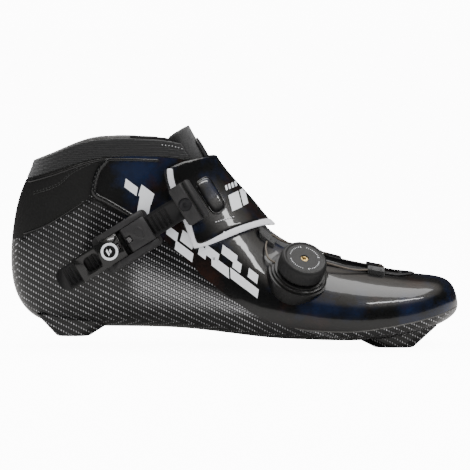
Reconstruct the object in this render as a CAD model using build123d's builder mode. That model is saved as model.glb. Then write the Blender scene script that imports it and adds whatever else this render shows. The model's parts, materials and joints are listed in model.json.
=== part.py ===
from build123d import *
from math import cos, hypot, pi, radians, sin
import os

# Boot of a speed skate, for the right foot: a moulded carbon shell with two bolt
# blocks under it, a glossy upper, a cable dial over the instep and a ratchet strap
# round the ankle.  Millimetres.  The origin is the mouth of the toe bolt hole, on
# the toe block's lower face.  +X is towards the toe, +Y towards the other foot
# (the inner side), +Z up.

# ---- Driving dimensions ----------------------------------------------------
boot_length = 269.7          # heel to toe
boot_height = 134.0          # toe block's face to the tongue's tip
boot_width = 90.0            # across the ball of the foot
mount_spacing = 195.0        # toe bolt to heel bolt
heel_rise = 6.7              # the heel block's face stands this much higher

wall = 2.2                   # upper and the shell's sides
sole_wall = 3.0              # the shell under the foot
footbed_thickness = 2.2
lining_thickness = 3.0
reach = 90.0                 # half depth of the prisms that cut the walls

bolt_radius = 2.5            # M6 thread's drilled radius
insert_radius = 6.0
insert_flange_radius = 7.5
insert_flange = 1.2
insert_cover = 0.6           # shell left over an insert
toe_block_width = 42.0
heel_block_width = 36.0
block_corner = 5.0

throat_front = -2.0          # front end of the lacing gap, as drawn
throat_half_front = 12.0
throat_half_top = 20.0
tongue_gap = 0.4             # between the upper and the tongue
tongue_thickness = 3.6
tongue_lap = 8.0             # how far the tongue runs under each edge
flap_side_gap = 2.0          # tongue's tip to the collar's front edges
flap_joint_gap = 0.5
trim_height = 0.9            # seam trims stand this proud
eyestay_width = 5.0

strap_gap = 0.4              # instep strap to the upper
strap_thickness = 2.6
piping_width = 3.4
piping_rise = 0.6            # the edge piping stands prouder than the strap

cord_radius = 0.6            # dial cable
cord_lift = 1.5              # its centre over the upper
guide_height = 2.6
guide_width = 8.0
guide_slack = 0.15           # cable to the guide's channel

dial_axis = Vector(0.25, -0.64, 0.73).normalized()
dial_lift = 1.0              # housing floor over the upper at the dial's centre
boss_steps = ((18.5, 1.2), (17.0, 2.6), (15.5, 4.0))   # radius, top
housing_radius = 12.0
housing_height = 6.0
housing_wall = 1.4
spool_radius = 9.6
spool_core = 6.0
knob_radius = 14.25
knob_wall = 1.7
knob_base = 4.8
knob_top = 14.6
knob_edge = 1.2
cap_thickness = 2.4
clutch_thickness = 1.2
spool_flange = 0.8
dial_screw_radius = 1.2
dial_screw_head = 2.2
running_gap = 0.3            # between parts that turn or slide on each other

strap_angle = 32.0           # the ratchet strap's climb towards the instep
ladder_width = 14.0
ladder_bottom = 4.0          # over the boot's side at the buckle
ladder_thickness = 2.2
tooth_pitch = 3.0
tooth_depth = 0.9
tooth_half_width = 5.2
ladder_tail = -41.0          # ends of the ladder, along the strap
ladder_end = 51.0
pad_top = 1.5
base_floor = 1.7
rail_width = 3.4
rail_front = 23.0
rail_rear = -8.0
rail_height = 10.6
pin_radius = 1.25
lever_pin_at = (0.6, 9.4)    # along the strap, out from the boot
lever_hub = 2.8
lever_tail = -27.0
lever_top = 12.2
badge_radius = 5.3
badge_thickness = 0.5
pawl_pin_at = (8.6, 9.2)
pawl_hub = 2.3
pawl_tip = 22.4
pawl_tooth_at = 14.4
spring_wire = 0.5
spring_radius = 1.9
spring_turns = 5
spring_half_slot = 2.0
screw_radius = 2.0
screw_head_radius = 4.0
screw_head_height = 1.2
nut_radius = 3.0
nut_flange_radius = 6.5
nut_flange = 1.0
nut_gap = 0.05               # flange to the wall's inner face at its nearest
buckle_screw_at = 15.5
holder_length = 14.0
holder_half_width = 12.5
holder_top = 9.6
tighten_travel = 9.0         # the ladder's way in from where it is
slide_gap = 0.5

# ---- The last that the boot is built on --------------------------------------
# Seams and stations are drawn on a last of these sizes, and stretch with the boot.
drawn_length = 269.7
drawn_height = 134.0
drawn_width = 90.0
drawn_middle = -97.5


def place(x, z):
    """A point drawn on the last's side view, at the boot's own size."""
    middle = -mount_spacing / 2
    return (middle + (x - drawn_middle) * boot_length / drawn_length, z * boot_height / drawn_height)


def across(y):
    return y * boot_width / drawn_width


# Each station is a closed section that leans back like a fan from toe to collar:
# crest point x, z; sole point x, z; half widths, outer and inner side; shift of the
# middle and of the crest; height of the widest line; fullness of the lower and the
# upper half; and how far the section closes the toe, from 0 to 1.
stations = (
    (37.4, 27.0, 37.4, 22.6, 8.0, 8.0, 7.0, 0, 0.50, 2.00, 2.00, 1.00),
    (36.3, 32.2, 36.3, 19.9, 15.0, 14.0, 6.5, 0, 0.50, 2.10, 2.00, 0.95),
    (33.0, 37.8, 33.0, 16.8, 23.0, 21.0, 5.5, 0, 0.46, 2.30, 2.10, 0.80),
    (26.5, 41.2, 26.5, 13.4, 30.5, 27.0, 4.0, 0, 0.42, 2.60, 2.20, 0.50),
    (14.0, 43.0, 14.0, 9.4, 38.0, 33.0, 2.0, 1, 0.38, 3.00, 2.20, 0.20),
    (-6.0, 46.0, -6.0, 5.8, 44.0, 40.0, 0, 2, 0.34, 3.30, 2.10, 0),
    (-30.0, 50.8, -30.0, 4.4, 47.0, 43.0, 0, 4, 0.32, 3.40, 2.00, 0),
    (-54.0, 58.3, -54.0, 4.6, 45.0, 40.0, 0, 5, 0.32, 3.20, 1.85, 0),
    (-73.5, 70.0, -79.0, 5.6, 42.5, 37.0, 0, 5, 0.32, 3.00, 1.80, 0),
    (-86.0, 84.0, -103.0, 8.2, 40.0, 35.0, 0, 4, 0.33, 2.80, 1.80, 0),
    (-97.5, 96.5, -130.0, 11.0, 38.0, 33.5, 0, 3, 0.34, 2.60, 1.85, 0),
    (-106.0, 106.5, -161.0, 12.0, 36.5, 33.0, 0, 2, 0.37, 2.50, 1.90, 0),
    (-111.5, 114.5, -193.0, 12.6, 35.5, 33.0, 0, 1, 0.40, 2.40, 2.00, 0),
    (-115.5, 121.5, -217.0, 17.5, 34.5, 32.5, 0, 0, 0.43, 2.35, 2.10, 0),
    (-119.0, 127.5, -228.7, 31.0, 33.5, 32.0, 0, 0, 0.46, 2.30, 2.15, 0),
    (-122.0, 133.0, -232.3, 52.0, 33.0, 32.0, 0, 0, 0.48, 2.30, 2.20, 0),
    (-125.0, 138.5, -230.5, 75.0, 32.5, 32.0, 0, 0, 0.50, 2.30, 2.20, 0),
    (-128.0, 144.0, -225.0, 96.0, 32.5, 32.5, 0, 0, 0.50, 2.30, 2.20, 0),
    (-131.0, 150.0, -218.0, 118.0, 33.0, 33.0, 0, 0, 0.50, 2.30, 2.20, 0),
)
quarter_steps = 4            # points round each quarter of a section


def quarter_curve(fullness):
    """Points of a rounded quarter, from the widest side (1, 0) to the top (0, 1)."""
    points = []
    for step in range(quarter_steps + 1):
        angle = step * pi / 2 / quarter_steps
        points.append((abs(cos(angle)) ** (2 / fullness), abs(sin(angle)) ** (2 / fullness)))
    return points


def boot_form(inset, sole_inset):
    """The last's shape, pulled in from the boot's outside by inset."""
    with BuildPart() as form:
        for station in stations:
            top_x, top_z, sole_x, sole_z, outer, inner, middle, crest, widest, low, high, closing = station
            top_x, top_z = place(top_x, top_z)
            sole_x, sole_z = place(sole_x, sole_z)
            height = hypot(top_x - sole_x, top_z - sole_z)
            lean_x = (top_x - sole_x) / height
            lean_z = (top_z - sole_z) / height
            side_share = (1 - closing**2) ** 0.5
            base = Vector(sole_x - inset * closing, 0, sole_z)
            section = Plane(origin=base, x_dir=(0, 1, 0), z_dir=(lean_z, 0, -lean_x))
            bottom = sole_inset * side_share
            top = height - inset * side_share
            waist = bottom + (top - bottom) * widest
            outer = across(outer) - inset * side_share
            inner = across(inner) - inset * side_share
            middle = across(middle)
            crest = across(crest)
            lower = quarter_curve(low)
            upper = quarter_curve(high)
            points = []
            for wide, tall in reversed(lower):
                points.append((middle - outer * wide, waist - (waist - bottom) * tall))
            for wide, tall in upper[1:]:
                points.append((middle + crest * tall**2 - outer * wide, waist + (top - waist) * tall))
            for wide, tall in upper[-2::-1]:
                points.append((middle + crest * tall**2 + inner * wide, waist + (top - waist) * tall))
            for wide, tall in lower[1:-1]:
                points.append((middle + inner * wide, waist - (waist - bottom) * tall))
            with BuildSketch(section):
                with BuildLine():
                    Spline(*points, periodic=True)
                make_face()
        loft()
    return form.part


outside = boot_form(0, 0)
inside = boot_form(wall, sole_wall)
foot_space = boot_form(wall + lining_thickness, sole_wall + footbed_thickness)
tongue_outside = boot_form(wall + tongue_gap, wall + tongue_gap)
tongue_inside = boot_form(wall + tongue_gap + tongue_thickness, wall + tongue_gap + tongue_thickness)
trim_outside = boot_form(-trim_height, -trim_height)
strap_inside = boot_form(-strap_gap, -strap_gap)
strap_outside = boot_form(-strap_gap - strap_thickness, -strap_gap - strap_thickness)
piping_top = strap_gap + strap_thickness + piping_rise
piping_outside = boot_form(-piping_top, -piping_top)


def first_hit(form, start, direction):
    """Point and normal where a line from start first meets the form."""
    hits = []
    for face in form.faces():
        hits += face.find_intersection_points(Axis(start, direction))
    return min(hits, key=lambda hit: (hit[0] - Vector(start)).length)


def side_zone(edge, closing):
    """A prism through the boot: a smooth seam line, closed by straight runs."""
    seam = [place(x, z) for x, z in edge]
    rest = [seam[-1]] + [place(x, z) for x, z in closing] + [seam[0]]
    with BuildPart() as zone:
        with BuildSketch(Plane.XZ):
            with BuildLine():
                Spline(*seam)
                Polyline(*rest)
            make_face()
        extrude(amount=reach, both=True)
    return zone.part


# ---- Seam lines, drawn on the side view --------------------------------------
shell_rear_edge = ((-245, 65), (-222, 67.5), (-203, 77.8), (-186, 88.6), (-183.6, 92.8))
shell_front_edge = (
    (-183.6, 92.8), (-162.5, 78.4), (-139.5, 65.7), (-118.4, 46.4), (-97.2, 29.5), (-79, 18.6),
    (-52, 12.4), (-28.4, 11.8), (-6.6, 14.2), (15.7, 18.2), (45, 25.8),
)
rim_line = (
    (-250, 104), (-221.5, 111), (-206.6, 116.5), (-184.8, 124.6), (-170.3, 126), (-148.6, 125.6),
    (-135.3, 124), (-126, 121.4), (-112, 116), (-90, 104),
)
collar_line = (
    (-250, 94), (-222, 101), (-205, 106.5), (-186, 112.6), (-172, 114.8), (-150, 115.2), (-130, 113.2),
    (-110, 108), (-90, 100),
)
panel_line = ((-183.6, 92.8), (-182.6, 98), (-179, 107), (-172, 118))
far_below = -30
far_above = 190


def shell_zone_part():
    rear = [place(x, z) for x, z in shell_rear_edge]
    front = [place(x, z) for x, z in shell_front_edge]
    with BuildPart() as zone:
        with BuildSketch(Plane.XZ):
            with BuildLine():
                Spline(*rear)
                Spline(*front)
                Polyline(front[-1], place(60, far_below), place(-250, far_below), rear[0])
            make_face()
        extrude(amount=reach, both=True)
    return zone.part


shell_zone = shell_zone_part()
open_top = side_zone(rim_line, ((-60, far_above), (-260, far_above)))
collar_zone = side_zone(collar_line, ((-60, far_above), (-260, far_above)))
panel_zone = side_zone(panel_line, ((-260, 118), (-260, 60), (-183.6, 60)))


def throat_slot(widen, front):
    """The lacing gap as a prism over the instep, from inside the foot outwards."""
    origin_x, origin_z = place(0, 22)
    far_x, far_z = place(-100, 68)
    upward = Vector(far_x - origin_x, 0, far_z - origin_z).normalized()
    deck = Plane(origin=(origin_x, 0, origin_z), x_dir=upward, z_dir=(upward.Z, 0, -upward.X))
    length = boot_length * 0.7
    start = -front
    half_front = across(throat_half_front) + widen
    half_top = across(throat_half_top) + widen
    with BuildPart() as slot:
        with BuildSketch(deck):
            with BuildLine():
                Polyline((start, half_front), (length, half_top), (length, -half_top), (start, -half_front))
                ThreePointArc((start, -half_front), (start - half_front * 0.6, 0), (start, half_front))
            make_face()
        extrude(amount=reach)
    return slot.part


throat = throat_slot(0, throat_front - throat_half_front * 0.6)

# ---- Where the dial and the buckle sit ---------------------------------------
dial_point, dial_normal = first_hit(outside, (place(-59.8, 0)[0], -reach, place(0, 44.2)[1]), (0, 1, 0))
dial_seat = Plane(origin=dial_point + dial_axis * dial_lift, x_dir=(1, 0, 0), z_dir=dial_axis)

buckle_point, buckle_normal = first_hit(outside, (place(-166.7, 0)[0], -reach, place(0, 61.5)[1]), (0, 1, 0))
climb = Vector(cos(radians(strap_angle)), 0, sin(radians(strap_angle)))
along = (climb - buckle_normal * climb.dot(buckle_normal)).normalized()
buckle = Plane(origin=buckle_point, x_dir=along, z_dir=buckle_normal)
buckle_profile = Plane(origin=buckle_point, x_dir=along, z_dir=-buckle.y_dir)


def drum(seat, low, high, radius, hole=0.0):
    """A round body on the seat's axis."""
    with BuildPart() as body:
        with BuildSketch(seat.offset(low)):
            Circle(radius)
            if hole:
                Circle(hole, mode=Mode.SUBTRACT)
        extrude(amount=high - low)
    return body.part


dial_pocket = drum(dial_seat, -boss_steps[0][0], knob_top, housing_radius + 0.05)
buckle_bolt_seat = Plane(origin=buckle.from_local_coords(Vector(buckle_screw_at, 0, 0)), z_dir=buckle_normal)
buckle_bolt_hole = drum(buckle_bolt_seat, -nut_flange_radius * 2, pad_top + base_floor, nut_radius)

anchor_point, anchor_normal = first_hit(outside, (place(-121, 0)[0], reach, place(0, 52)[1]), (0, -1, 0))
anchor_seat = Plane(origin=anchor_point, z_dir=anchor_normal)
anchor_hole = drum(anchor_seat, -nut_flange_radius * 2, strap_thickness * 3, nut_radius)


def nut_depth(seat):
    """How deep a T-nut's flange sits so that its whole rim is clear of the curved wall."""
    depths = []
    for eighth in range(8):
        turn = eighth * pi / 4
        rim = Vector(nut_flange_radius * cos(turn), nut_flange_radius * sin(turn), nut_flange_radius * 3)
        point, normal = first_hit(inside, seat.from_local_coords(rim), -seat.z_dir)
        depths.append(-seat.to_local_coords(point).Z)
    return max(depths) + nut_gap


buckle_nut_depth = nut_depth(buckle_bolt_seat)
anchor_nut_depth = nut_depth(anchor_seat)

# ---- Carbon shell with its bolt blocks ---------------------------------------
toe_at = Vector(0, 0, 0)
heel_at = Vector(-mount_spacing, 0, heel_rise)


def bolt_block(face_centre, face_rear, face_front, slope_rear, slope_front, width):
    """A block with a flat lower face and sloping ends that runs up into the sole."""
    top = 13.0
    with BuildPart() as block:
        with BuildSketch(Plane.XZ.offset(-width / 2)):
            with BuildLine():
                Polyline(
                    (face_centre.X - face_rear, face_centre.Z),
                    (face_centre.X + face_front, face_centre.Z),
                    (face_centre.X + face_front + slope_front * top, face_centre.Z + top),
                    (face_centre.X - face_rear - slope_rear * top, face_centre.Z + top),
                    close=True,
                )
            make_face()
        extrude(amount=width)
        ends = block.edges().filter_by(GeomType.LINE).filter_by(lambda e: abs(e.tangent_at(0).Z) > 0.3)
        fillet(ends, block_corner)
        chamfer(block.faces().sort_by(Axis.Z)[0].edges(), 0.8)
    return block.part


toe_block = bolt_block(toe_at, 13, 9.7, 2.0, 1.1, toe_block_width)
heel_block = bolt_block(heel_at, 9, 10, 0.95, 1.6, heel_block_width)


def insert_room(face_centre):
    """Depth of the shell over a block's face at its thinnest, less the cover that stays."""
    depths = []
    for eighth in range(8):
        turn = eighth * pi / 4
        rim = Vector(insert_flange_radius * cos(turn), insert_flange_radius * sin(turn), -1)
        point, normal = first_hit(inside, face_centre + rim, (0, 0, 1))
        depths.append(point.Z - face_centre.Z)
    return min(depths) - insert_cover


with BuildPart() as carbon_shell:
    add(outside)
    add(open_top, mode=Mode.SUBTRACT)
    add(shell_zone, mode=Mode.INTERSECT)
    add(toe_block)
    add(heel_block)
    add(inside, mode=Mode.SUBTRACT)
    add(buckle_bolt_hole, mode=Mode.SUBTRACT)
    add(anchor_hole, mode=Mode.SUBTRACT)
    for face_centre in (toe_at, heel_at):
        room = insert_room(face_centre)
        seat = Plane(origin=face_centre)
        with BuildSketch(seat):
            Circle(insert_radius)
        extrude(amount=room, mode=Mode.SUBTRACT)
        with BuildSketch(seat.offset(room - insert_flange)):
            Circle(insert_flange_radius)
        extrude(amount=insert_flange, mode=Mode.SUBTRACT)


def bolt_insert(face_centre):
    """A threaded steel insert with a flange that keeps it from pulling out."""
    room = insert_room(face_centre)
    with BuildPart() as insert:
        with BuildSketch(Plane(origin=face_centre)):
            Circle(insert_radius)
        extrude(amount=room)
        with BuildSketch(Plane(origin=face_centre).offset(room - insert_flange)):
            Circle(insert_flange_radius)
        extrude(amount=insert_flange)
        with BuildSketch(Plane(origin=face_centre)):
            Circle(bolt_radius)
        extrude(amount=room, mode=Mode.SUBTRACT)
    return insert


toe_insert = bolt_insert(toe_at)
heel_insert = bolt_insert(heel_at)

# ---- Upper -------------------------------------------------------------------
with BuildPart() as upper_wall:
    add(outside)
    add(inside, mode=Mode.SUBTRACT)
    add(open_top, mode=Mode.SUBTRACT)
    add(shell_zone, mode=Mode.SUBTRACT)
    add(throat, mode=Mode.SUBTRACT)


with BuildPart() as collar_band:
    add(upper_wall.part)
    add(collar_zone, mode=Mode.INTERSECT)

with BuildPart() as heel_panel:
    add(upper_wall.part)
    add(collar_zone, mode=Mode.SUBTRACT)
    add(panel_zone, mode=Mode.INTERSECT)

with BuildPart() as quarter:
    add(upper_wall.part)
    add(collar_zone, mode=Mode.SUBTRACT)
    add(panel_zone, mode=Mode.SUBTRACT)
    add(dial_pocket, mode=Mode.SUBTRACT)
    add(buckle_bolt_hole, mode=Mode.SUBTRACT)
    add(anchor_hole, mode=Mode.SUBTRACT)

# ---- Inside: footbed, lining, tongue -----------------------------------------
footbed_line = (
    (-250, 23), (-217, 24), (-193, 20.6), (-161, 20), (-130, 19), (-103, 16.2), (-79, 13.6), (-54, 12.6),
    (-30, 12.4), (-6, 13.8), (14, 17.4), (26.5, 21.4), (45, 30),
)
footbed_zone = side_zone(footbed_line, ((45, far_below), (-250, far_below)))
lining_slot = throat_slot(tongue_lap + 1.0, throat_front + 6.0)

with BuildPart() as padding:
    add(inside)
    add(foot_space, mode=Mode.SUBTRACT)
    add(open_top, mode=Mode.SUBTRACT)

with BuildPart() as footbed:
    add(padding.part)
    add(footbed_zone, mode=Mode.INTERSECT)

buckle_nut_room = drum(buckle_bolt_seat, -nut_flange_radius * 2, -wall / 2, nut_flange_radius + slide_gap)
anchor_nut_room = drum(anchor_seat, -nut_flange_radius * 2, -wall / 2, nut_flange_radius + slide_gap)

with BuildPart() as lining:
    add(padding.part)
    add(footbed_zone, mode=Mode.SUBTRACT)
    add(lining_slot, mode=Mode.SUBTRACT)
    add(buckle_nut_room, mode=Mode.SUBTRACT)
    add(anchor_nut_room, mode=Mode.SUBTRACT)


def tongue_zone(half_width_change, low, high):
    """The tongue's stretch of the instep, between two lines drawn across it."""
    slot = throat_slot(half_width_change, throat_front)
    low_x, low_z = place(*low)
    high_x, high_z = place(*high)
    rise = Vector(high_x - low_x, 0, high_z - low_z).normalized()
    with BuildPart() as zone:
        with BuildSketch(Plane(origin=(low_x, 0, low_z), x_dir=(0, 1, 0), z_dir=rise)):
            Rectangle(2 * reach, 2 * reach)
        extrude(amount=hypot(high_x - low_x, high_z - low_z))
        add(slot, mode=Mode.INTERSECT)
    return zone.part


tongue_toe = (60.0, 14.3)
flap_joint = (-113.0, 114.0)
tongue_tip = (-124.8, 133.6)
flap_rise = Vector(tongue_tip[0] - flap_joint[0], 0, tongue_tip[1] - flap_joint[1]).normalized()

with BuildPart() as tongue:
    add(tongue_outside)
    add(tongue_inside, mode=Mode.SUBTRACT)
    add(tongue_zone(tongue_lap, tongue_toe, flap_joint), mode=Mode.INTERSECT)

flap_start = (flap_joint[0] + flap_rise.X * flap_joint_gap, flap_joint[1] + flap_rise.Z * flap_joint_gap)
with BuildPart() as tongue_flap:
    add(tongue_outside)
    add(tongue_inside, mode=Mode.SUBTRACT)
    add(tongue_zone(-flap_side_gap, flap_start, tongue_tip), mode=Mode.INTERSECT)

# ---- Seam trims and the instep strap -----------------------------------------
panel_trim_line = (
    (-171, 116.5), (-178, 107.5), (-181, 98), (-180, 92.5), (-172, 88), (-160, 80.8), (-139.5, 68.2),
    (-126, 57),
)
trim_width = 4.4


def band_zone(line, width, depth):
    """A prism of even width along a line drawn on the side view."""
    with BuildPart() as zone:
        with BuildSketch(Plane.XZ):
            with BuildLine() as middle:
                Spline(*[place(x, z) for x, z in line])
            trace(line_width=width)
        extrude(amount=depth)
    return zone.part


with BuildPart() as seam_trim:
    add(trim_outside)
    add(outside, mode=Mode.SUBTRACT)
    add(band_zone(panel_trim_line, trim_width, reach), mode=Mode.INTERSECT)
    add(collar_zone, mode=Mode.SUBTRACT)

strap_rear = ((-137.7, 108), (-136.5, 99), (-131.7, 86.7), (-126, 72), (-121.5, 61))
strap_lower = ((-121.5, 61), (-103, 66.5), (-87, 72), (-79, 73.2), (-73, 72.6), (-67, 72.2), (-58, 73))
strap_inner_rear = ((-137.7, 108), (-137, 96), (-134, 76), (-130, 56), (-129, 45))
strap_inner_front = ((-113, 45), (-106, 56), (-95, 66), (-84, 71.6), (-73, 72.6), (-67, 72.2), (-58, 73))
strap_end_line = ((-129, 45), (-121, 40.5), (-113, 45))
strap_top_line = (
    (-58, 73), (-45, 95), (-85, 125), (-100, 115.5), (-109.3, 115), (-118, 114), (-128, 112), (-137.7, 108),
)


def strap_zone(curves, depth):
    """One side of the strap's outline as a prism; depth is negative to the inner side."""
    with BuildPart() as zone:
        with BuildSketch(Plane.XZ):
            with BuildLine():
                for curve in curves:
                    Spline(*[place(x, z) for x, z in curve])
                Polyline(*[place(x, z) for x, z in strap_top_line])
            make_face()
        extrude(amount=depth)
    return zone.part


with BuildPart() as strap_room:
    add(strap_zone((strap_rear, strap_lower), reach))
    add(strap_zone((strap_inner_rear, strap_end_line, strap_inner_front), -reach))

with BuildPart() as piping_room:
    add(band_zone(strap_rear + strap_lower[1:], 2 * piping_width, reach))
    add(band_zone(strap_inner_rear, 2 * piping_width, -reach))
    add(band_zone(strap_end_line, 2 * piping_width, -reach))
    add(band_zone(strap_inner_front, 2 * piping_width, -reach))
    add(strap_room.part, mode=Mode.INTERSECT)

with BuildPart() as instep_strap:
    add(strap_outside)
    add(strap_inside, mode=Mode.SUBTRACT)
    add(strap_room.part, mode=Mode.INTERSECT)
    add(piping_room.part, mode=Mode.SUBTRACT)
    add(anchor_hole, mode=Mode.SUBTRACT)

with BuildPart() as strap_piping:
    add(piping_outside)
    add(strap_inside, mode=Mode.SUBTRACT)
    add(piping_room.part, mode=Mode.INTERSECT)


# ---- Rivet at the strap's inner end ------------------------------------------
def flanged_nut(seat, depth, sleeve_top):
    """A T-nut pushed through the wall from inside: flange at depth, sleeve to sleeve_top."""
    with BuildPart() as nut:
        with BuildSketch(seat.offset(-depth - nut_flange)):
            Circle(nut_flange_radius)
        extrude(amount=nut_flange)
        with BuildSketch(seat.offset(-depth)):
            Circle(nut_radius)
        extrude(amount=depth + sleeve_top)
        with BuildSketch(seat.offset(-depth - nut_flange)):
            Circle(screw_radius)
        extrude(amount=depth + nut_flange + sleeve_top, mode=Mode.SUBTRACT)
    return nut


def pan_screw(seat, head_bottom, head_radius, head_height, length):
    """A screw with a low domed head and a hexagon socket."""
    with BuildPart() as screw:
        with BuildSketch(seat.offset(head_bottom)):
            Circle(head_radius)
        extrude(amount=head_height)
        rims = screw.edges().filter_by(GeomType.CIRCLE)
        fillet(rims.sort_by(Axis(seat.origin, seat.z_dir))[-1], head_height * 0.6)
        with BuildSketch(seat.offset(head_bottom + head_height)):
            RegularPolygon(head_radius * 0.45, 6)
        extrude(amount=-head_height * 0.6, mode=Mode.SUBTRACT)
        with BuildSketch(seat.offset(head_bottom - length)):
            Circle(screw_radius)
        extrude(amount=length)
    return screw


anchor_head = strap_gap + strap_thickness + 0.6
anchor_length = anchor_head + anchor_nut_depth
strap_anchor_screw = pan_screw(anchor_seat, anchor_head, screw_head_radius, 1.6, anchor_length)
strap_anchor_nut = flanged_nut(anchor_seat, anchor_nut_depth, strap_gap)

# ---- Cable dial ----------------------------------------------------------------
with BuildPart() as dial_housing:
    add(drum(dial_seat, 0, housing_height, housing_radius))
    add(drum(dial_seat, housing_wall, housing_height, housing_radius - housing_wall), mode=Mode.SUBTRACT)
    add(drum(dial_seat, 0, housing_wall, dial_screw_radius), mode=Mode.SUBTRACT)

spool_low = housing_wall + running_gap
spool_high = knob_base - running_gap
with BuildPart() as dial_spool:
    add(drum(dial_seat, spool_low, spool_low + spool_flange, spool_radius, dial_screw_radius + running_gap))
    add(drum(dial_seat, spool_low, spool_high, spool_core, dial_screw_radius + running_gap))
    add(drum(dial_seat, spool_high - spool_flange, spool_high, spool_radius, dial_screw_radius + running_gap))

clutch_top = knob_base + clutch_thickness
clutch_radius = housing_radius - housing_wall - running_gap

with BuildPart() as dial_clutch_ring:
    add(drum(dial_seat, knob_base, clutch_top, clutch_radius, dial_screw_head + running_gap))
    with BuildSketch(dial_seat.offset(knob_base)):
        with PolarLocations(clutch_radius * 0.8, 6):
            SlotOverall(3.0, 1.2, rotation=90)
    extrude(amount=clutch_top - knob_base, mode=Mode.SUBTRACT)

with BuildPart() as dial_grip:
    add(drum(dial_seat, knob_base, knob_top, knob_radius, knob_radius - knob_wall))
    grip_top = dial_grip.faces().sort_by(Axis(dial_seat.origin, dial_axis))[-1]
    fillet(grip_top.edges().sort_by(SortBy.LENGTH)[-1], knob_edge)

cap_radius = knob_radius - knob_wall
with BuildPart() as dial_cap:
    add(drum(dial_seat, knob_top - cap_thickness, knob_top, cap_radius, dial_screw_head + running_gap))
    add(drum(dial_seat, clutch_top + 0.1, knob_top, dial_screw_head + 2.0, dial_screw_head + running_gap))

with BuildPart() as dial_screw:
    add(drum(dial_seat, 0, knob_top - 2.0, dial_screw_radius))
    add(drum(dial_seat, knob_top - 2.0, knob_top - 0.4, dial_screw_head))
    with BuildSketch(dial_seat.offset(knob_top - 0.4)):
        RegularPolygon(1.1, 6)
    extrude(amount=-0.9, mode=Mode.SUBTRACT)

# ---- Ratchet buckle on the ankle -------------------------------------------------
def profile_block(points, half_width):
    """A block cut to a side profile of the buckle: along the strap, out from the boot."""
    with BuildPart() as block:
        with BuildSketch(buckle_profile):
            with BuildLine():
                Polyline(*points, close=True)
            make_face()
        extrude(amount=half_width, both=True)
    return block.part


def pin_hole(at, radius, half_width):
    with BuildPart() as hole:
        with BuildSketch(buckle_profile):
            with Locations(at):
                Circle(radius)
        extrude(amount=half_width, both=True)
    return hole.part


rail_outer = ladder_width / 2 + 1.0 + rail_width
rail_inner = rail_outer - rail_width
pivot_inner = rail_inner - 0.4
floor_top = pad_top + base_floor
screw_seat = floor_top - screw_head_height
profile_low = -9.0

with BuildPart() as buckle_pad:
    add(profile_block(((rail_rear - 4, profile_low), (rail_front + 2, profile_low), (rail_front + 2, pad_top),
                       (rail_rear - 4, pad_top)), rail_outer + 0.6))
    fillet(buckle_pad.edges().filter_by(Axis(buckle_point, buckle_normal)), 3.0)
    add(outside, mode=Mode.SUBTRACT)
    add(seam_trim.part, mode=Mode.SUBTRACT)
    add(drum(buckle_bolt_seat, profile_low, pad_top, nut_radius), mode=Mode.SUBTRACT)

rail_profile = (
    (rail_rear, pad_top), (rail_front, pad_top), (rail_front, floor_top + 2.6),
    (rail_front - 6, rail_height - 1.4), (12, rail_height), (-3, rail_height + 0.8),
    (rail_rear, floor_top + 4.4),
)
with BuildPart() as buckle_base:
    add(profile_block(rail_profile, rail_outer))
    add(profile_block(((rail_rear - 1, floor_top), (rail_front + 1, floor_top), (rail_front + 1, 20),
                       (rail_rear - 1, 20)), rail_inner), mode=Mode.SUBTRACT)
    add(pin_hole(lever_pin_at, pin_radius, rail_outer + 1), mode=Mode.SUBTRACT)
    add(pin_hole(pawl_pin_at, pin_radius, rail_outer + 1), mode=Mode.SUBTRACT)
    add(drum(buckle_bolt_seat, 0, floor_top, screw_radius), mode=Mode.SUBTRACT)
    add(drum(buckle_bolt_seat, screw_seat, floor_top, screw_head_radius), mode=Mode.SUBTRACT)

buckle_screw = pan_screw(
    buckle_bolt_seat, screw_seat, screw_head_radius, screw_head_height, screw_seat + buckle_nut_depth,
)
buckle_t_nut = flanged_nut(buckle_bolt_seat, buckle_nut_depth, pad_top)

tooth_top = ladder_bottom + ladder_thickness
first_tooth = ladder_tail + 6.0
tooth_count = int((ladder_end - holder_length - first_tooth) / tooth_pitch)
holder_bolt_at = buckle.from_local_coords(Vector(ladder_end - 3.5, 0, 0))
holder_bolt_seat = Plane(origin=holder_bolt_at, z_dir=buckle_normal)
with BuildPart() as ladder_strap:
    with BuildSketch(buckle.offset(ladder_bottom)):
        with Locations(((ladder_tail + ladder_end) / 2, 0)):
            Rectangle(ladder_end - ladder_tail, ladder_width)
    extrude(amount=ladder_thickness)
    tail_edges = ladder_strap.edges().filter_by(Axis(buckle_point, buckle_normal))
    fillet(tail_edges.sort_by(lambda e: (e.center() - buckle_point).dot(along))[0:2], 5.0)
    with BuildSketch(buckle_profile):
        for number in range(tooth_count):
            start = first_tooth + number * tooth_pitch
            floor_end = start + tooth_pitch * 0.45
            ramp_end = start + tooth_pitch * 0.8
            with BuildLine():
                Polyline(
                    (start, tooth_top + 1), (start, tooth_top - tooth_depth),
                    (floor_end, tooth_top - tooth_depth), (ramp_end, tooth_top + 1), close=True,
                )
            make_face()
    extrude(amount=tooth_half_width, both=True, mode=Mode.SUBTRACT)
    add(drum(holder_bolt_seat, 0, 20, screw_radius), mode=Mode.SUBTRACT)

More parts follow.
